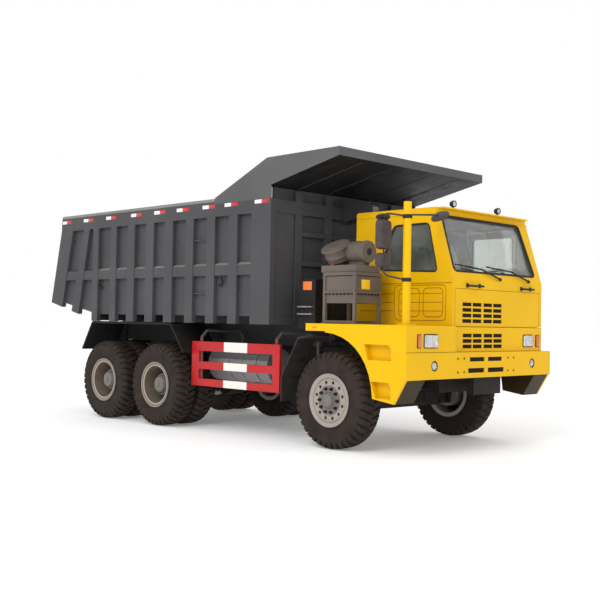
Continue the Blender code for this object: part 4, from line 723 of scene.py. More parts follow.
# ---------------------------------------------------------------- bed
def build_bed():
    """Rungs, hooks, welds, ledges and top rails on the sides, reflectors, and the front wall's stiffeners."""
    origin = -AXLE_Y  # the lengths below run rearwards from the front axle
    side_low = low("bed_side_right").z
    band = (3.345, 3.541)
    posts = [1.812, 2.010, 2.338, 2.535, 2.868, 3.062, 3.399, 3.617, 3.918, 4.133, 4.457, 4.664, 5.0, 5.179, 5.557,
             5.73]  # the posts' front and rear edges in turn
    for side, s in SIDES.items():
        skin = s * BED_SKIN
        trim = Shape().use("grey_paint")
        rung = (2.535 - origin, 2.868 - origin)
        for z in (2.165, 3.000):  # ladder rungs in one bay
            trim.tube([(skin, rung[0] + 0.02, z), (s * 1.655, rung[0] + 0.02, z), (s * 1.655, rung[1] - 0.02, z),
                       (skin, rung[1] - 0.02, z)], 0.011, 10)
        for y, turn in ((5.52 - origin, 1), (2.12 - origin + 0.10, -1)):  # lashing hooks under the middle rail
            hook = [(skin, y, 2.40), (s * 1.648, y, 2.39), (s * 1.652, y + turn * 0.05, 2.34),
                    (s * 1.652, y + turn * 0.02, 2.285), (s * 1.648, y - turn * 0.06, 2.290)]
            trim.use("black_rubber").tube(hook, 0.017, 10, smooth=2)
            trim.use("grey_paint")
            trim.box((skin, y - 0.045, 2.35), (skin + s * 0.012, y + 0.045, 2.43), 0.003)
        gaps = list(zip([1.501, *posts[1::2]], posts[0::2]))
        for y0, y1 in gaps:  # weld beads at the foot and head of each bay
            for z in (band[0] - 0.002, 2.4345):
                trim.tube([(skin, y0 - origin, z), (skin, y1 - origin, z)], 0.006, 6)
        trim.use("rail_paint")
        ledge_outline = [(1.6105, 2.6295), (1.6725, 2.5945), (1.6735, 2.5975), (1.6105, 2.6330)]
        for y0, y1 in gaps:  # light, dusty ledge over the middle rail
            place = facing("front", (0, (y0 + y1) / 2 - origin, 0))
            trim.plate([(s * x, z) for x, z in ledge_outline], place, y1 - y0 - 0.002)
        rail_x, rail_z = s * (BED_SIDE - 0.048), high(f"bed_side_{side}").z - 0.048
        y0, y1 = 2.356 - origin, 6.78 - origin
        trim.rod((rail_x, y0, rail_z), (rail_x, y1, rail_z), 0.0478, 28, bevel=0.006)
        trim.use("grey_paint")
        x, y = s * (BED_SIDE - 0.003), BED_FRONT + 0.004
        trim.tube([(x, y, side_low + 0.06), (x, y, 3.33)], 0.0028, 8)
        trim.done(f"bed_trim_{side}", "bed", "grey_paint")

    reflect = Shape()
    for s in SIDES.values():
        face = s * (BED_SIDE + 0.0002)
        for start in (6.775, 6.051, 5.328, 4.573, 3.911, 3.304, 2.646, 2.116, 1.432):
            y = start - origin
            for material, ya, yb in (("reflector_white", y - 0.150, y), ("reflector_red", y - 0.312, y - 0.156)):
                reflect.use(material).box((face, ya, 3.480), (face + s * 0.0028, yb, 3.536), 0.0008)
    reflect.done("bed_reflectors", "bed", "red_paint")

    front = Shape().use("grey_paint")
    for z in (2.02, 2.62, 3.06):  # cross stiffeners between the wall's posts
        for x0, x1 in ((-1.03, -0.52), (-0.38, 0.38), (0.52, 1.03)):
            front.box((x0, 1.085 - origin, z - 0.035), (x1, 1.142 - origin, z + 0.035), 0.006)
    tip = low("canopy").y
    for x in (-1.10, -0.45, 0.45, 1.10):  # ribs that carry the canopy's sheet
        rib = [(1.135 - origin, 3.712), (tip + 0.10, 3.998), (tip + 0.10, 4.016), (1.135 - origin, 3.720)]
        front.plate(rib, facing("left", (x, 0, 0)), 0.012)
    front.done("bed_front_trim", "bed", "grey_paint")


# ---------------------------------------------------------------- cab
# Window outlines: the windscreen's on its own slope, the others as (distance behind the axle, height) or (x, height).
SCREEN = [(-1.035, 0.115), (0.965, 0.115), (0.870, 0.915), (-1.020, 0.915)]
RIGHT_WINDOW = [(-1.155, 2.470), (-0.140, 2.510), (-0.390, 3.125), (-1.000, 3.135)]
DOOR_WINDOW = [(-0.960, 2.480), (-0.190, 2.480), (-0.190, 3.110), (-0.930, 3.110)]
REAR_WINDOW = [(-0.150, 2.500), (1.060, 2.500), (1.060, 3.000), (-0.150, 3.000)]


def spread(start, end, count, share):
    """Equal slots with bars between them: each slot takes this share of its pitch."""
    pitch = (end - start) / (count - 1 + share)
    return [(start + i * pitch, start + i * pitch + share * pitch) for i in range(count)]


GRILLE_COLUMNS = spread(-0.43, 0.02, 2, 0.90) + spread(0.065, 0.515, 2, 0.90)


def rake():
    """The windscreen's frame: x across, y up the rake, z out."""
    top_y = TOP_FRONT + AXLE_Y
    foot = Vector(((CAB_RIGHT + CAB_LEFT) / 2, CAB_FACE, BEND_Z))
    up = Vector((0, top_y - CAB_FACE, low("cab_roof").z - BEND_Z)).normalized()
    across = Vector((1, 0, 0))
    return Matrix.Translation(foot) @ Matrix((across, up, across.cross(up))).transposed().to_4x4()


def seal(shape, outline, matrix, radius=0.019, lift=0.0):
    shape.tube(laid(rounded(outline, 0.07, 6), matrix, lift), radius, 10, closed=True)


def grown(points, by):
    centre = sum((Vector(p) for p in points), Vector((0, 0))) / len(points)
    return [tuple(Vector(p) + (Vector(p) - centre).normalized() * by) for p in points]


def slot_shade_block(shape, across, depth, height):
    """A dark block of painted shade that fills a slot behind its edge."""
    gap = 0.0005
    shape.box((across[0] + gap, depth[0], height[0] + gap), (across[1] - gap, depth[1], height[1] - gap), 0.001)


def lamp_face(x):
    """Lamps on the right stand on the deck's front, those on the left on the cab's lower panel."""
    return (low("deck_right").y if x < 0 else FASCIA_FACE) - 0.001


def build_cab_trim():
    """Seals, wipers, door lining, pressed lines, lamps, painted shade behind the grille and bumper slots, and handles.
    """
    screen = rake()
    seals = Shape().use("black_rubber")
    seal(seals, grown(SCREEN, 0.004), screen, 0.016, -0.003)
    right_place = facing("right", (CAB_RIGHT + 0.010, AXLE_Y, 0))
    seal(seals, [(-y, z) for y, z in grown(RIGHT_WINDOW, 0.008)], right_place, 0.015)
    seal(seals, [(-x, z) for x, z in REAR_WINDOW], facing("back", (0, high("cab_shell").y - 0.014, 0)), 0.017)
    for x in (-0.02, 0.72):  # two wipers parked low, sweeping to the driver's right
        hub = screen @ Vector((x, 0.020, 0.018))
        elbow = screen @ Vector((x - 0.40, 0.150, 0.032))
        seals.rod(hub, hub + screen.to_3x3() @ Vector((0, 0, 0.026)), 0.024, 16, bevel=0.004)
        seals.tube([hub + screen.to_3x3() @ Vector((0, 0, 0.016)), elbow], 0.0130, 8)
        blade = [screen @ Vector((x - 0.38, 0.155, 0.018)), screen @ Vector((x - 0.985, 0.200, 0.018))]
        seals.tube([elbow, screen @ Vector((x - 0.68, 0.180, 0.030))], 0.006, 8)
        seals.tube(blade, 0.0115, 8)
    seals.done("window_seals_and_wipers", "chassis", "black_rubber")

    door_seal = Shape().use("black_rubber")
    seal(door_seal, DOOR_WINDOW, facing("left", (CAB_LEFT - 0.014, AXLE_Y, 0)), 0.0135)
    door_seal.use("yellow_paint")
    face = CAB_LEFT - 0.0012
    for outline in (rect(-0.98, 1.90, -0.17, 2.28), rect(-0.90, 1.97, -0.25, 2.21)):
        door_seal.tube(laid(rounded(outline, 0.06, 4), facing("left", (face, AXLE_Y, 0))), 0.0035, 6, closed=True)
    door_seal.use("black_rubber")
    door_seal.box((CAB_LEFT, AXLE_Y - 0.27, 2.345), (CAB_LEFT + 0.026, AXLE_Y - 0.13, 2.385), 0.008)
    door_seal.box((CAB_LEFT - 0.001, AXLE_Y - 0.29, 2.325), (CAB_LEFT + 0.010, AXLE_Y - 0.11, 2.405), 0.004)
    inner = CAB_LEFT - 0.0485  # grey lining on the door's inner face and round its window
    door_seal.use("lining")
    seal(door_seal, DOOR_WINDOW, facing("left", (CAB_LEFT - 0.038, AXLE_Y, 0)), 0.0125)
    for y0, y1, z0, z1 in ((-1.045, -0.105, 1.805, 2.475), (-0.188, -0.105, 2.475, 3.195),
                           (-0.988, -0.188, 3.112, 3.195), (-1.045, -0.988, 2.475, 3.195)):
        door_seal.box((inner - 0.003, AXLE_Y + y0, z0), (inner, AXLE_Y + y1, z1), 0.001)
    door_seal.done("door_trim_left", "door_left", "black_rubber")

    skin = Shape().use("seam_shade")
    # pressed panels on the blind right wall
    wall = facing("right", (CAB_RIGHT - 0.0002, AXLE_Y, 0))
    rings = (rect(0.42, 1.80, 1.31, 2.285), rect(0.50, 1.85, 0.86, 2.245), rect(0.93, 1.85, 1.26, 2.245))
    for outline in rings:
        skin.tube(laid(rounded(outline, 0.075, 5), wall), 0.0050, 6, closed=True)
    for z in (1.93, 2.05, 2.17):
        skin.tube(laid([(-0.22, z), (0.40, z)], wall), 0.0045, 6)
        skin.tube(laid([(0.52, z), (1.24, z)], wall), 0.0045, 6)
    skin.tube(laid([(-0.30, 2.312), (1.40, 2.312)], wall), 0.0050, 6)
    # dark lines where the front's panels meet
    for x0, x1, z, face in ((-1.700, -0.670, 1.3835, low("deck_right").y), (-0.660, 1.555, 1.3835, FASCIA_FACE),
                            (-0.655, 1.555, 1.7215, FASCIA_FACE), (-0.600, 1.500, 2.2405, CAB_FACE)):
        skin.box((x0, face - 0.0012, z - 0.003), (x1, face + 0.002, z + 0.003), 0.0005)
    skin.box((-0.6675, FASCIA_FACE - 0.0012, 1.387), (-0.6625, FASCIA_FACE + 0.004, 1.630), 0.0005)
    for x in (-0.6035, 1.5035):
        skin.box((x - 0.003, CAB_FACE - 0.0012, 1.735), (x + 0.003, CAB_FACE + 0.002, 2.240), 0.0005)
    # drip rail
    skin.use("yellow_paint")
    for x in (CAB_RIGHT - 0.0005, CAB_LEFT + 0.0005):
        skin.tube([(x, high("cab_shell").y - 0.01, low("cab_roof").z - 0.004),
                   (x, AXLE_Y + TOP_FRONT - 0.015, low("cab_roof").z - 0.004)], 0.0075, 8)
    skin.done("cab_pressings", "chassis", "yellow_paint")

    lamps = Shape()
    for x in (-0.355, 0.726):  # work lamps on the roof's front edge
        foot = Vector((x, AXLE_Y - 1.180, ROOF_TOP - 0.002))
        head = foot + Vector((0, -0.006, 0.062))
        lamps.use("black_rubber").rod(foot, foot + Vector((0, 0, 0.030)), 0.013, 12)
        lamps.box(foot - Vector((0.028, 0.022, 0)), foot + Vector((0.028, 0.022, 0.007)), 0.003)
        shell = [(0.052, 0.0), (0.050, 0.020), (0.036, 0.037), (0.004, 0.047), (-0.020, 0.049), (-0.027, 0.047),
                 (-0.027, 0.040), (-0.020, 0.040)]
        lamps.turned(shell, head, (0, 1, 0), 28)
        lamps.use("chrome").turned([(-0.018, 0.041), (0.004, 0.028), (0.012, 0.010), (0.012, 0.0)], head, (0, 1, 0), 28)
        lamps.use("lens").turned([(-0.022, 0.0), (-0.0245, 0.022), (-0.021, 0.041), (-0.0185, 0.041), (-0.020, 0.0)],
                                 head, (0, 1, 0), 28)
    for x0, x1 in ((-1.355, -1.060), (1.055, 1.320)):  # headlamps
        face = lamp_face(x0)
        z0, z1 = 1.437, 1.622
        frame_outline = rounded(rect(x0, z0, x1, z1), 0.022, 4)
        inside = rounded(rect(x0 + 0.014, z0 + 0.014, x1 - 0.014, z1 - 0.014), 0.016, 4)
        lamps.use("black_rubber").plate(frame_outline, facing("front", (0, face, 0)), 0.012, 0.002, [inside[::-1]])
        lamps.use("chrome").box((x0 + 0.012, face - 0.0045, z0 + 0.012), (x1 - 0.012, face + 0.004, z1 - 0.012), 0.003)
        mid, z = (x0 + x1) / 2, (z0 + z1) / 2
        for k in range(9):  # fluting behind the lens
            x = x0 + 0.030 + k * (x1 - x0 - 0.060) / 8
            lamps.rod((x, face - 0.0035, z0 + 0.020), (x, face - 0.0035, z1 - 0.020), 0.0045, 8)
        lamps.turned([(-0.003, 0.070), (-0.010, 0.064), (-0.006, 0.030), (-0.012, 0.018), (-0.016, 0.0)],
                     (mid, face - 0.002, z), (0, 1, 0), 32)
        lamps.use("lens").box((x0 + 0.013, face - 0.022, z0 + 0.013), (x1 - 0.013, face - 0.019, z1 - 0.013), 0.001)
    for x0, x1 in ((-1.490, -1.410), (1.395, 1.504)):  # indicators
        face = lamp_face(x0)
        lamps.use("black_rubber").box((x0, face - 0.006, 1.437), (x1, face + 0.004, 1.618), 0.004)
        lamps.use("amber").box((x0 + 0.008, face - 0.020, 1.445), (x1 - 0.008, face - 0.005, 1.610), 0.008)
    for x in (-1.132, 1.208):  # round lamps in the bumper
        at = Vector((x, BUMPER_FACE, 1.206))
        lamps.use("black_rubber").turned([(0.036, 0.0), (0.036, 0.069), (0.002, 0.069), (0.002, 0.054), (0.026, 0.050)],
                                         at, (0, 1, 0), 32)
        lamps.use("chrome").turned([(0.004, 0.055), (0.030, 0.040), (0.034, 0.0)], at, (0, 1, 0), 32)
        lamps.use("lens").turned([(0.002, 0.0), (0.001, 0.030), (0.006, 0.053), (0.009, 0.053), (0.006, 0.0)],
                                 at, (0, 1, 0), 32)
    lamps.done("front_lamps", "chassis", "glass")

    front = Shape().use("filter_paint")
    for x in (-0.62, -0.48, 0.574, 0.721):  # bolt heads on the bumper
        for z in (1.113, 1.296):
            front.rod((x, BUMPER_FACE, z), (x, BUMPER_FACE + 0.010, z), 0.016, 12)
    # painted shade: dark blocks in the grille's slots, a dark sheet and dark bars behind them
    front.use("dark_void")
    grille_y = high("front_fascia").y + 0.004
    for x0, x1 in GRILLE_COLUMNS:
        for z0, z1 in spread(1.43, 1.63, 3, 0.68):
            slot_shade_block(front, (x0, x1), (FASCIA_FACE + 0.008, grille_y - 0.005), (z0, z1))
    front.box((-0.46, grille_y, 1.405), (0.55, grille_y + 0.01, 1.655), 0.002)
    # painted shade in the bumper's slots
    for heights, spans in (((1.254, 1.311), ((-0.35, -0.005), (0.08, 0.42))),
                           ((1.100, 1.163), ((-0.385, -0.005), (0.08, 0.47)))):
        for across in spans:
            slot_shade_block(front, across, (BUMPER_FACE + 0.012, BUMPER_FACE + 0.049), heights)
    for z in (1.45, 1.50, 1.55, 1.60):
        front.rod((-0.45, grille_y - 0.003, z), (0.54, grille_y - 0.003, z), 0.004, 8)
    front.done("grille_shade_blocks", "chassis", "yellow_paint")

    # painted shade behind the flap's grille slots
    flap = Shape().use("dark_void")
    inside_y = high("front_flap").y - 0.014
    for x0, x1 in GRILLE_COLUMNS:
        for z0, z1 in spread(1.777, 2.054, 4, 0.66):
            slot_shade_block(flap, (x0, x1), (CAB_FACE + 0.008, inside_y - 0.001), (z0, z1))
    flap.box((-0.43, inside_y, 1.762), (0.55, inside_y + 0.008, 2.070), 0.002)
    flap.done("flap_grille_shade", "front_flap", "black_rubber")

    handles = Shape().use("black_rubber")
    for x0, x1 in ((-0.360, -0.010), (0.980, 1.280)):  # grab handles over the flap
        y, z = CAB_FACE - 0.050, 2.288
        for x in (x0 + 0.030, x1 - 0.030):
            handles.box((x - 0.024, CAB_FACE - 0.010, z - 0.030), (x + 0.024, CAB_FACE + 0.001, z + 0.030), 0.005)
            handles.tube([(x, CAB_FACE - 0.008, z), (x, y, z - 0.004)], 0.013, 10)
        handles.tube([(x0, y, z - 0.004), (x1, y, z - 0.004)], 0.015, 12)
    handles.done("cab_front_handles", "chassis", "black_rubber")


def build_cab_inside():
    """Headliner, seat cover and a round steering wheel, seen through the glass."""
    x0, x1 = low("seat").x, high("seat").x
    section = [(-0.62, 2.145), (-0.30, 2.132), (-0.06, 2.140), (0.01, 2.42), (0.055, 2.86), (0.045, 2.965),
               (-0.01, 2.998), (-0.062, 2.965), (-0.075, 2.80), (-0.105, 2.55), (-0.130, 2.315), (-0.30, 2.288),
               (-0.52, 2.278), (-0.615, 2.235)]  # cushion and back in side view: (behind the axle, height)
    rings = []
    mid_y, mid_z = -0.18, 2.45
    for t in (0.0, 0.10, 0.28, 0.5, 0.72, 0.90, 1.0):  # shares of the way across; the sides are smaller
        edge = 1 - 0.055 * abs(2 * t - 1) ** 3
        x = x0 + 0.006 + (x1 - x0 - 0.012) * t
        rings.append([(x, AXLE_Y + mid_y + (y - mid_y) * edge, mid_z + (z - mid_z) * edge) for y, z in section])
    shape = Shape().use("seat_cloth").absorb(lofted(rings))
    seat = shape.done("driver_seat_cover", "chassis", "seat_cloth", ["seat"])
    soften = seat.modifiers.new("padding", "SUBSURF")
    soften.levels = soften.render_levels = 2

    inside = Shape().use("headliner")
    y0, y1 = AXLE_Y + TOP_FRONT + 0.10, high("cab_shell").y - 0.065
    wall_right, wall_left, roof_z = CAB_RIGHT + 0.056, CAB_LEFT - 0.056, low("cab_roof").z
    inside.box((wall_right, y0, roof_z - 0.028), (wall_left, y1, roof_z - 0.004), 0.008)
    inside.use("lining").box((wall_right, y1 + 0.002, 1.80), (wall_left, y1 + 0.010, 2.44), 0.003)
    back = y1 + 0.006
    for x0, x1, z0, z1 in ((wall_right, -0.175, 2.44, 3.20), (1.085, wall_left, 2.44, 3.20),
                           (-0.175, 1.085, 3.025, 3.20)):  # round the rear window
        inside.box((x0, back - 0.004, z0), (x1, back + 0.004, z1), 0.002)
    wheel = Vector((1.02, AXLE_Y - 0.86, 2.46))
    lean = Vector((0, 0.50, 0.86)).normalized()
    turn = Matrix.Translation(wheel) @ lean.to_track_quat("Z", "Y").to_matrix().to_4x4()
    inside.use("wheel_plastic").tube(laid(circle(0.2225, 40), turn), 0.0192, 12, closed=True)
    mid = (x0 + x1) / 2
    inside.use("trim_plastic")
    inside.box((mid - 0.140, AXLE_Y - 0.135, 2.865), (mid + 0.140, AXLE_Y - 0.055, 2.997), 0.028, None, 4)
    inside.box((0.72, AXLE_Y - 1.20, 2.362), (1.32, AXLE_Y - 1.10, 2.395), 0.02)
    inside.done("cab_lining", "chassis", "trim_plastic")


# ---------------------------------------------------------------- mirrors, filter, decks
def mirror_head(shape, centre, half_width, half_depth, half_height):
    """A crowned housing with its glass facing rearwards."""
    x, y, z = centre
    outline = rounded(rect(-half_width, -half_height, half_width, half_height), half_width * 0.6, 6)
    slices = ((-1.0, 0.70), (-0.82, 0.90), (-0.45, 0.985), (0.3, 1.0), (1.0, 1.0))
    rings = [[(x + px * k, y + depth * half_depth, z + pz * (k + (1 - k) * 0.45)) for px, pz in outline]
             for depth, k in slices]
    shape.use("mirror_plastic").absorb(lofted(rings))
    shape.use("mirror_face")
    inner = [(px * 0.90, pz * 0.94) for px, pz in outline]
    shape.plate(inner, facing("back", (x, y + half_depth - 0.0012, z)), 0.003)


def build_mirrors():
    """The pole and its heads on the right deck, and the heads that ride on the left door."""
    pole_x, pole_y = -1.590, AXLE_Y - 1.380
    housing = (-1.800, AXLE_Y - 1.170)
    pole = Shape().use("yellow_paint")
    pole.rod((pole_x, pole_y, DECK_TOP), (pole_x, pole_y, 3.310), 0.052, 32, bevel=0.004)
    pole.box((pole_x - 0.085, pole_y - 0.085, DECK_TOP), (pole_x + 0.085, pole_y + 0.085, DECK_TOP + 0.014), 0.004)
    for dx in (-0.065, 0.065):
        for dy in (-0.065, 0.065):
            bolt(pole, (pole_x + dx, pole_y + dy, DECK_TOP + 0.014), (0, 0, 1), 0.010)
    pole.done("mirror_pole", "chassis", "yellow_paint")

    heads = Shape()
    mirror_head(heads, (*housing, 2.885), 0.108, 0.053, 0.188)
    mirror_head(heads, (*housing, 2.560), 0.108, 0.053, 0.088)
    heads.use("mirror_plastic")
    for foot_z, bend_z, end_z in ((3.12, 3.16, 3.05), (2.31, 2.37, 2.50)):
        elbow = (pole_x - 0.10, pole_y + 0.08, foot_z + 0.02)
        heads.tube([(pole_x, pole_y, foot_z), elbow, (*housing, bend_z), (*housing, end_z)], 0.0125, 10, smooth=2)
        heads.use("black_rubber").turned([(-0.024, 0.052), (-0.024, 0.062), (0.024, 0.062), (0.024, 0.052)],
                                         (pole_x, pole_y, foot_z), (0, 0, 1), 24, closed=True)
        heads.use("mirror_plastic")
    heads.rod((*housing, 2.62), (*housing, 2.72), 0.0125, 12)
    heads.turned([(-0.016, 0.0), (-0.014, 0.070), (-0.004, 0.092), (0.006, 0.095), (0.010, 0.076), (0.010, 0.0)],
                 (housing[0], housing[1] + 0.02, 3.108), (0.25, 0.25, 1), 28)  # kerb mirror
    heads.tube([(pole_x, pole_y, 3.14), (pole_x + 0.20, pole_y + 0.01, 3.16), (pole_x + 0.67, pole_y + 0.02, 3.20)],
               0.0125, 10, smooth=1)
    spot = Vector((pole_x + 0.705, pole_y + 0.020, 3.195))
    out = Matrix.Rotation(radians(-35), 3, "Y") @ Vector((0, 0, 1))
    heads.turned([(-0.024, 0.0), (-0.024, 0.122), (-0.016, 0.128), (0.004, 0.120), (0.019, 0.094), (0.0245, 0.045),
                  (0.0245, 0.0)], spot, out, 40)
    heads.done("mirror_heads_right", "chassis", "mirror_plastic", ["mirror_pole_right"])

    left = Shape()
    place = (high("deck_left").x + 0.096, AXLE_Y - 0.86)
    mirror_head(left, (*place, 2.88), 0.103, 0.053, 0.183)
    mirror_head(left, (*place, 2.585), 0.098, 0.053, 0.083)
    left.use("mirror_plastic")
    foot, arm_y = CAB_LEFT + 0.0005, AXLE_Y - 0.99
    for foot_z, bend_z, end_z in ((3.05, 3.14, 3.02), (2.36, 2.43, 2.55)):
        left.tube([(foot, arm_y, foot_z), (foot + 0.06, arm_y, foot_z), (*place, bend_z), (*place, end_z)], 0.0125, 10,
                  smooth=2)
        left.box((foot, arm_y - 0.03, foot_z - 0.035), (foot + 0.012, arm_y + 0.03, foot_z + 0.035), 0.004)
    left.rod((*place, 2.60), (*place, 2.75), 0.0125, 12)
    left.done("mirror_heads_left", "door_left", "mirror_plastic", ["mirror_left"])


def build_filter():
    """The air cleaner's two drums, their bands, the housing's flange and its blank label."""
    a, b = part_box("air_cleaner_stand")
    trim = Shape().use("chassis_paint")
    for x in (a.x, b.x):
        s = -1 if x == a.x else 1
        for k in range(8):
            y = a.y + 0.06 + k * (b.y - a.y - 0.12) / 7
            trim.box((x - s * 0.004, y - 0.012, 2.128), (x + s * 0.008, y + 0.012, 2.152), 0.003)
    for k in range(7):
        x = a.x + 0.06 + k * (b.x - a.x - 0.12) / 6
        trim.box((x - 0.012, a.y - 0.008, 2.128), (x + 0.012, a.y + 0.004, 2.152), 0.003)
    trim.use("filter_paint")
    for z in (2.235, 2.285, 2.335):
        trim.box((a.x + 0.06, a.y + 0.013, z - 0.004), (a.x + 0.19, a.y + 0.017, z + 0.004), 0.002)
    for x in (a.x + 0.0225, b.x - 0.0225):  # feet plates
        for y in (a.y + 0.0225, b.y - 0.0225):
            trim.box((x - 0.045, y - 0.045, DECK_TOP + 0.0005), (x + 0.045, y + 0.045, DECK_TOP + 0.012), 0.003)
    trim.use("label_yellow").box((-1.387, a.y + 0.0115, 2.209), (-1.216, a.y + 0.0148, 2.340), 0.001)
    trim.done("filter_stand_trim", "chassis", "filter_paint")

    top = b.z
    drum_x, drum_z = -1.26, 2.725
    drums = Shape().use("filter_paint")
    y0 = low("air_cleaner").y
    shell = [(0.0, 0.0), (0.0, 0.030), (0.006, 0.034), (0.006, 0.052), (-0.0, 0.056), (0.0, 0.142), (0.010, 0.152),
             (0.030, 0.1545), (0.036, 0.158), (0.052, 0.158), (0.058, 0.152), (0.165, 0.152), (0.171, 0.158),
             (0.187, 0.158), (0.193, 0.152), (0.300, 0.152), (0.330, 0.140), (0.350, 0.120), (0.350, 0.0)]
    drums.turned(shell, (drum_x, y0, drum_z), (0, 1, 0), 56)
    for k in range(3):  # over-centre catches round the lid
        angle = radians(40 + 120 * k)
        at = Vector((drum_x + 0.156 * cos(angle), y0 + 0.046, drum_z + 0.156 * sin(angle)))
        drums.box(at - Vector((0.012, 0.030, 0.012)), at + Vector((0.012, 0.030, 0.008)), 0.004)
    tilt = Vector((-0.50, 0, 0.866)).normalized()
    drum = Vector((-1.36, AXLE_Y + 0.045, 2.732))
    tilted = [(-0.119, 0.0), (-0.119, 0.165), (-0.105, 0.180), (-0.050, 0.182), (-0.042, 0.188), (-0.026, 0.188),
              (-0.018, 0.182), (0.060, 0.182), (0.070, 0.190), (0.070, 0.2130), (0.088, 0.2140), (0.100, 0.208),
              (0.104, 0.180), (0.108, 0.176), (0.108, 0.150), (0.116, 0.145), (0.119, 0.120), (0.119, 0.0)]
    drums.turned(tilted, drum, tilt, 56)
    drums.box((a.x + 0.02, y0 + 0.02, top + 0.0005), (b.x - 0.03, high("air_cleaner").y - 0.05, top + 0.100), 0.010)
    drums.box((-1.33, y0 + 0.06, top + 0.05), (-1.19, y0 + 0.31, 2.70), 0.012)
    drums.box((-1.40, AXLE_Y - 0.05, top + 0.05), (-1.24, AXLE_Y + 0.09, 2.70), 0.012)
    drums.use("black_rubber").turned([(-0.001, 0.0), (-0.001, 0.045), (0.010, 0.045), (0.010, 0.0)],
                                     (drum_x, y0, drum_z), (0, 1, 0), 28)
    drums.use("reflector_red").box((-1.468, AXLE_Y + 0.02, top + 0.102), (-1.42, AXLE_Y + 0.07, top + 0.135), 0.006)
    drums.done("air_cleaner_drums", "chassis", "filter_paint", ["air_cleaner"])


def build_deck_trim():
    """Rolled edges round the wheel arches, tread plates in the steps, and a blank label."""
    trim = Shape().use("yellow_paint")
    rear = high("deck_right").y
    face = low("deck_right").x
    arch_y, arch_z, arch_r, power = AXLE_Y + 0.020, 0.660, 0.960, 2 / 2.25  # the deck's superelliptic wheel arch
    for side, s in SIDES.items():
        edge = s * abs(face)
        ring = []
        for i in range(10):
            a = radians(175 - 9 * i)
            ring.append((edge - s * 0.006, arch_y - arch_r * abs(cos(a)) ** power, arch_z + arch_r * sin(a) ** power))
        trim.tube(ring, 0.0058, 8)
        for y0, y1, z in ((-1.222, -0.865, 1.2705), (-1.222, -1.004, 0.7805)):  # tread plates in the steps
            trim.box((edge - s * 0.006, AXLE_Y + y0, z), (edge - s * 0.092, AXLE_Y + y1, z + 0.004), 0.001)
            for k in range(3):
                x = edge - s * (0.020 + k * 0.026)
                trim.tube([(x, AXLE_Y + y0 + 0.02, z + 0.005), (x, AXLE_Y + y1 - 0.02, z + 0.005)], 0.0032, 6)
    trim.use("label_orange")
    trim.box((face - 0.001, rear - 0.210, 1.665), (face + 0.001, rear - 0.130, 1.690), 0.0005)
    trim.done("deck_trim", "chassis", "yellow_paint")


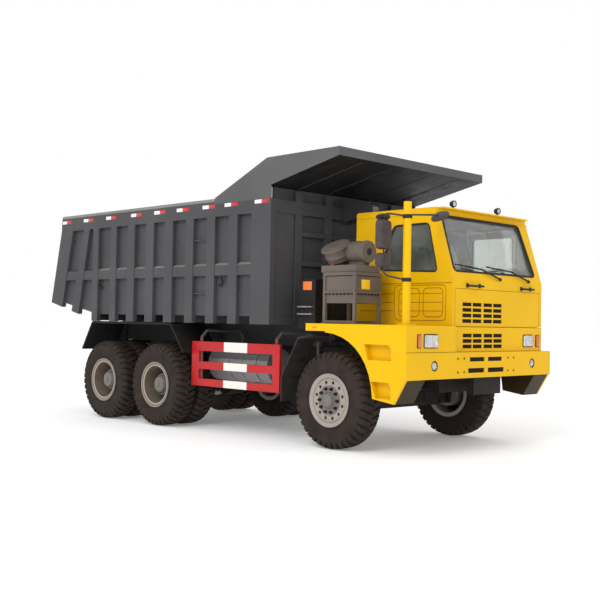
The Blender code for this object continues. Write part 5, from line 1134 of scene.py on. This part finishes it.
# ---------------------------------------------------------------- flanks and underside
def build_flanks():
    """Guard bolts, tank straps, hoses, springs, rivets, dark screens of painted shade and rear lamps."""
    guard = Shape().use("red_paint")
    for side, s in SIDES.items():
        x = s * high("side_guard_left").x
        for y in (GUARD_Y[0] + 0.055, GUARD_Y[1] - 0.065):
            for z in (0.760, 1.030, 1.335):
                bolt(guard, (x - s * 0.0075, y, z), (s, 0, 0), 0.010, 0.0072)
    guard.done("side_guard_bolts", "chassis", "red_paint")

    tanks = Shape().use("steel_tube")
    for y in (low("air_tank_right").y + along for along in (0.28, 0.60, 0.90)):
        strap = [(-0.030, 0.2695), (-0.026, 0.2775), (0.026, 0.2775), (0.030, 0.2695)]
        tanks.turned(strap, (-1.02, y, 1.06), (0, 1, 0), 48, closed=True)
    tanks.use("chassis_paint")
    fuel_y = low("fuel_tank_left").y
    for y in (fuel_y + 0.35, fuel_y + 1.05):
        outline = rounded(rect(0.627, 0.737, 1.2905, 1.3405), 0.105, 4)
        hole = rounded(rect(0.632, 0.742, 1.2885, 1.3385), 0.103, 4)
        tanks.plate(outline, facing("back", (0, y, 0)) @ Matrix.Diagonal((-1, 1, -1, 1)), 0.05, 0, [hole])
    tanks.rod((0.95, fuel_y + 0.20, 1.335), (0.95, fuel_y + 0.20, 1.395), 0.055, 24, bevel=0.006)
    ha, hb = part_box("hydraulic_tank")
    tanks.rod((-0.85, ha.y + 0.19, hb.z - 0.001), (-0.85, ha.y + 0.19, hb.z + 0.05), 0.05, 24, bevel=0.006)
    for k in range(4):
        z = 1.60 + k * 0.18
        tanks.box((-1.046, ha.y + 0.02, z), (-1.0395, ha.y + 0.36, z + 0.02), 0.002)
    tanks.use("black_rubber")
    for x, y in ((-0.60, 0.83), (-0.50, 0.86), (-0.72, 0.84)):  # hoses down from the tank
        y += AXLE_Y
        tanks.tube([(x, y - 0.08, 2.10), (x, y, 2.02), (x - 0.02, y + 0.01, 1.75), (x + 0.05, y - 0.02, 1.50),
                    (x + 0.10, y, 1.40)], 0.017, 10, smooth=2)
    face = ha.x
    tanks.use("label_orange").box((face - 0.002, AXLE_Y + 0.515, 2.207), (face + 0.001, AXLE_Y + 0.690, 2.330), 0.001)
    for z in (1.967, 1.863):  # pale pipes along the tank
        y0, y1 = AXLE_Y + 0.490, AXLE_Y + 0.770
        pipe = [(face + 0.002, y0, z), (face - 0.035, y0, z), (face - 0.035, y1, z), (face + 0.002, y1, z)]
        tanks.use("steel_tube").tube(pipe, 0.012, 8, smooth=1)
    tanks.done("tank_straps_and_hoses", "chassis", "chassis_paint")

    springs = Shape().use("chassis_paint")
    for s in SIDES.values():
        for k in range(6):  # front leaves, one above another
            reach = 0.78 - 0.105 * k
            z = 0.845 - k * 0.021
            sag = 0.022 * reach / 0.78
            path = [(s * 0.45, AXLE_Y + reach * t, z - sag * (1 - abs(t))) for t in (-1, -0.5, 0, 0.5, 1)]
            for p, q in zip(path, path[1:]):
                shift = Matrix.Translation((Vector(p) + Vector(q)) / 2)
                turn = (Vector(q) - Vector(p)).to_track_quat("Y", "Z").to_matrix().to_4x4()
                span = (Vector(q) - Vector(p)).length / 2 + 0.002
                springs.box((-0.052, -span, -0.009), (0.052, span, 0.009), 0.003, shift @ turn, 1)
        for y in (-0.07, 0.07):
            springs.tube([(s * 0.385, AXLE_Y + y, 0.58), (s * 0.385, AXLE_Y + y, 0.875), (s * 0.515, AXLE_Y + y, 0.875),
                          (s * 0.515, AXLE_Y + y, 0.58)], 0.011, 8)
        for y in [-3.9 + 0.42 * k for k in range(17)]:  # rivets along the rails
            for z in (1.08, 1.31):
                springs.rod((s * 0.459, y, z), (s * 0.468, y, z), 0.012, 8)
    for y in (MIDDLE_AXLE.y, REAR_AXLE.y):
        springs.turned([(-0.035, 0.0), (-0.035, 0.12), (-0.015, 0.17), (0.0, 0.20), (0.0, 0.215)],
                       (0, y + 0.232, FRONT_AXLE.z + 0.02), (0, -1, 0), 28)
    for side, s in SIDES.items():  # dark screens of painted shade between the tyres and the bed
        guard_low, guard_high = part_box(f"rear_mudguard_{side}")
        springs.box((s * 0.952, MIDDLE_AXLE.y - 0.420, 1.385), (s * 0.9635, REAR_AXLE.y + 0.520, 1.500), 0.001)
        front_y, top = guard_low.y + 0.45, guard_high.z
        springs.box((s * 0.952, front_y, top - 0.01), (s * 0.9635, REAR_AXLE.y + 0.60, 1.6985), 0.001)
        springs.box((s * 1.600, front_y, top - 0.002), (s * 1.655, REAR_AXLE.y + 0.43, 1.6985), 0.001)
        # a dark plate of painted shade behind the rear wheels
        tail_shade_screen = [(0.30, 1.386), (0.36, 1.325), (0.70, 1.250), (0.72, 1.270), (0.47, 1.672), (0.30, 1.672)]
        springs.plate(tail_shade_screen, facing("left", (s * 0.9578, REAR_AXLE.y, 0)), 0.0115)
    springs.done("springs_rivets_and_shade_screens", "chassis", "chassis_paint")

    tail = Shape()
    y = high("chassis_frame").y - 0.20
    for s in SIDES.values():
        tail.use("chassis_paint").box((s * 0.462, y + 0.02, 1.10), (s * 0.80, y + 0.05, 1.24), 0.005)
        tail.use("black_rubber").box((s * 0.52, y + 0.045, 1.115), (s * 0.79, y + 0.085, 1.225), 0.008)
        tail.use("reflector_red").box((s * 0.65, y + 0.080, 1.125), (s * 0.78, y + 0.094, 1.215), 0.006)
        tail.use("amber").box((s * 0.53, y + 0.080, 1.125), (s * 0.64, y + 0.094, 1.215), 0.006)
    tail.done("rear_lamps", "chassis", "chassis_paint")


# ---------------------------------------------------------------- floor, light, camera
LIGHT_TARGET = Vector((0, 0, 1.6))
FLOOR_GLOW = 0.16


def build_stage():
    """A pale floor, a white sky and two area lights."""
    bpy.ops.mesh.primitive_plane_add(size=160, location=(0, 0, 0))
    floor = bpy.context.object
    floor.name = "floor"
    material, tree, shader = new_material("pale_floor")
    shade = ramp(tree, noise(tree, 0.6), ((0.2, (0.90, 0.90, 0.90)), (0.8, (0.93, 0.93, 0.93))))
    feed(tree, shader.inputs["Base Color"], shade)
    shader.inputs["Roughness"].default_value = 0.9
    shader.inputs["Emission Color"].default_value = (1, 1, 1, 1)
    shader.inputs["Emission Strength"].default_value = FLOOR_GLOW
    floor.data.materials.append(material)
    world = bpy.data.worlds.new("studio")
    world.use_nodes = True
    world.node_tree.nodes["Background"].inputs["Color"].default_value = (1.0, 1.0, 1.0, 1)
    world.node_tree.nodes["Background"].inputs["Strength"].default_value = 1.0
    bpy.context.scene.world = world
    for name, place, power, size in (
        ("key", (-17.0, -7.0, 13.0), 1500, 9.0),
        ("front_fill", (-2.0, -19.0, 9.0), 120, 9.0),
    ):
        light = bpy.data.lights.new(name, "AREA")
        light.energy = power
        light.size = size
        lamp = bpy.data.objects.new(name, light)
        lamp.location = place
        lamp.rotation_euler = (LIGHT_TARGET - Vector(place)).to_track_quat("-Z", "Y").to_euler()
        bpy.context.scene.collection.objects.link(lamp)


def build_camera():
    """Low, off the truck's right front corner."""
    place = Vector((-11.235, -11.9535, 1.756))
    yaw, pitch, roll = radians(-44.650), radians(1.449), radians(1.053)
    forward = Vector((-sin(yaw) * cos(pitch), cos(yaw) * cos(pitch), sin(pitch)))
    level_right = forward.cross(Vector((0, 0, 1))).normalized()
    level_up = level_right.cross(forward)
    across = cos(roll) * level_right + sin(roll) * level_up
    up = -sin(roll) * level_right + cos(roll) * level_up
    data = bpy.data.cameras.new("camera")
    data.lens = 57.98
    data.sensor_width = 36
    data.shift_x = 0.0062
    data.shift_y = -0.0053
    data.clip_end = 300
    camera = bpy.data.objects.new("camera", data)
    camera.matrix_world = Matrix.Translation(place) @ Matrix((across, up, -forward)).transposed().to_4x4()
    bpy.context.scene.collection.objects.link(camera)
    bpy.context.scene.camera = camera
    bpy.context.scene.view_settings.view_transform = "Standard"


for side, s in SIDES.items():
    front_wheel(side, s)
    for place in ("middle", "rear"):
        rear_wheels(place, side, s)
build_bed()
build_cab_trim()
build_cab_inside()
build_mirrors()
build_filter()
build_deck_trim()
build_flanks()
build_stage()
build_camera()
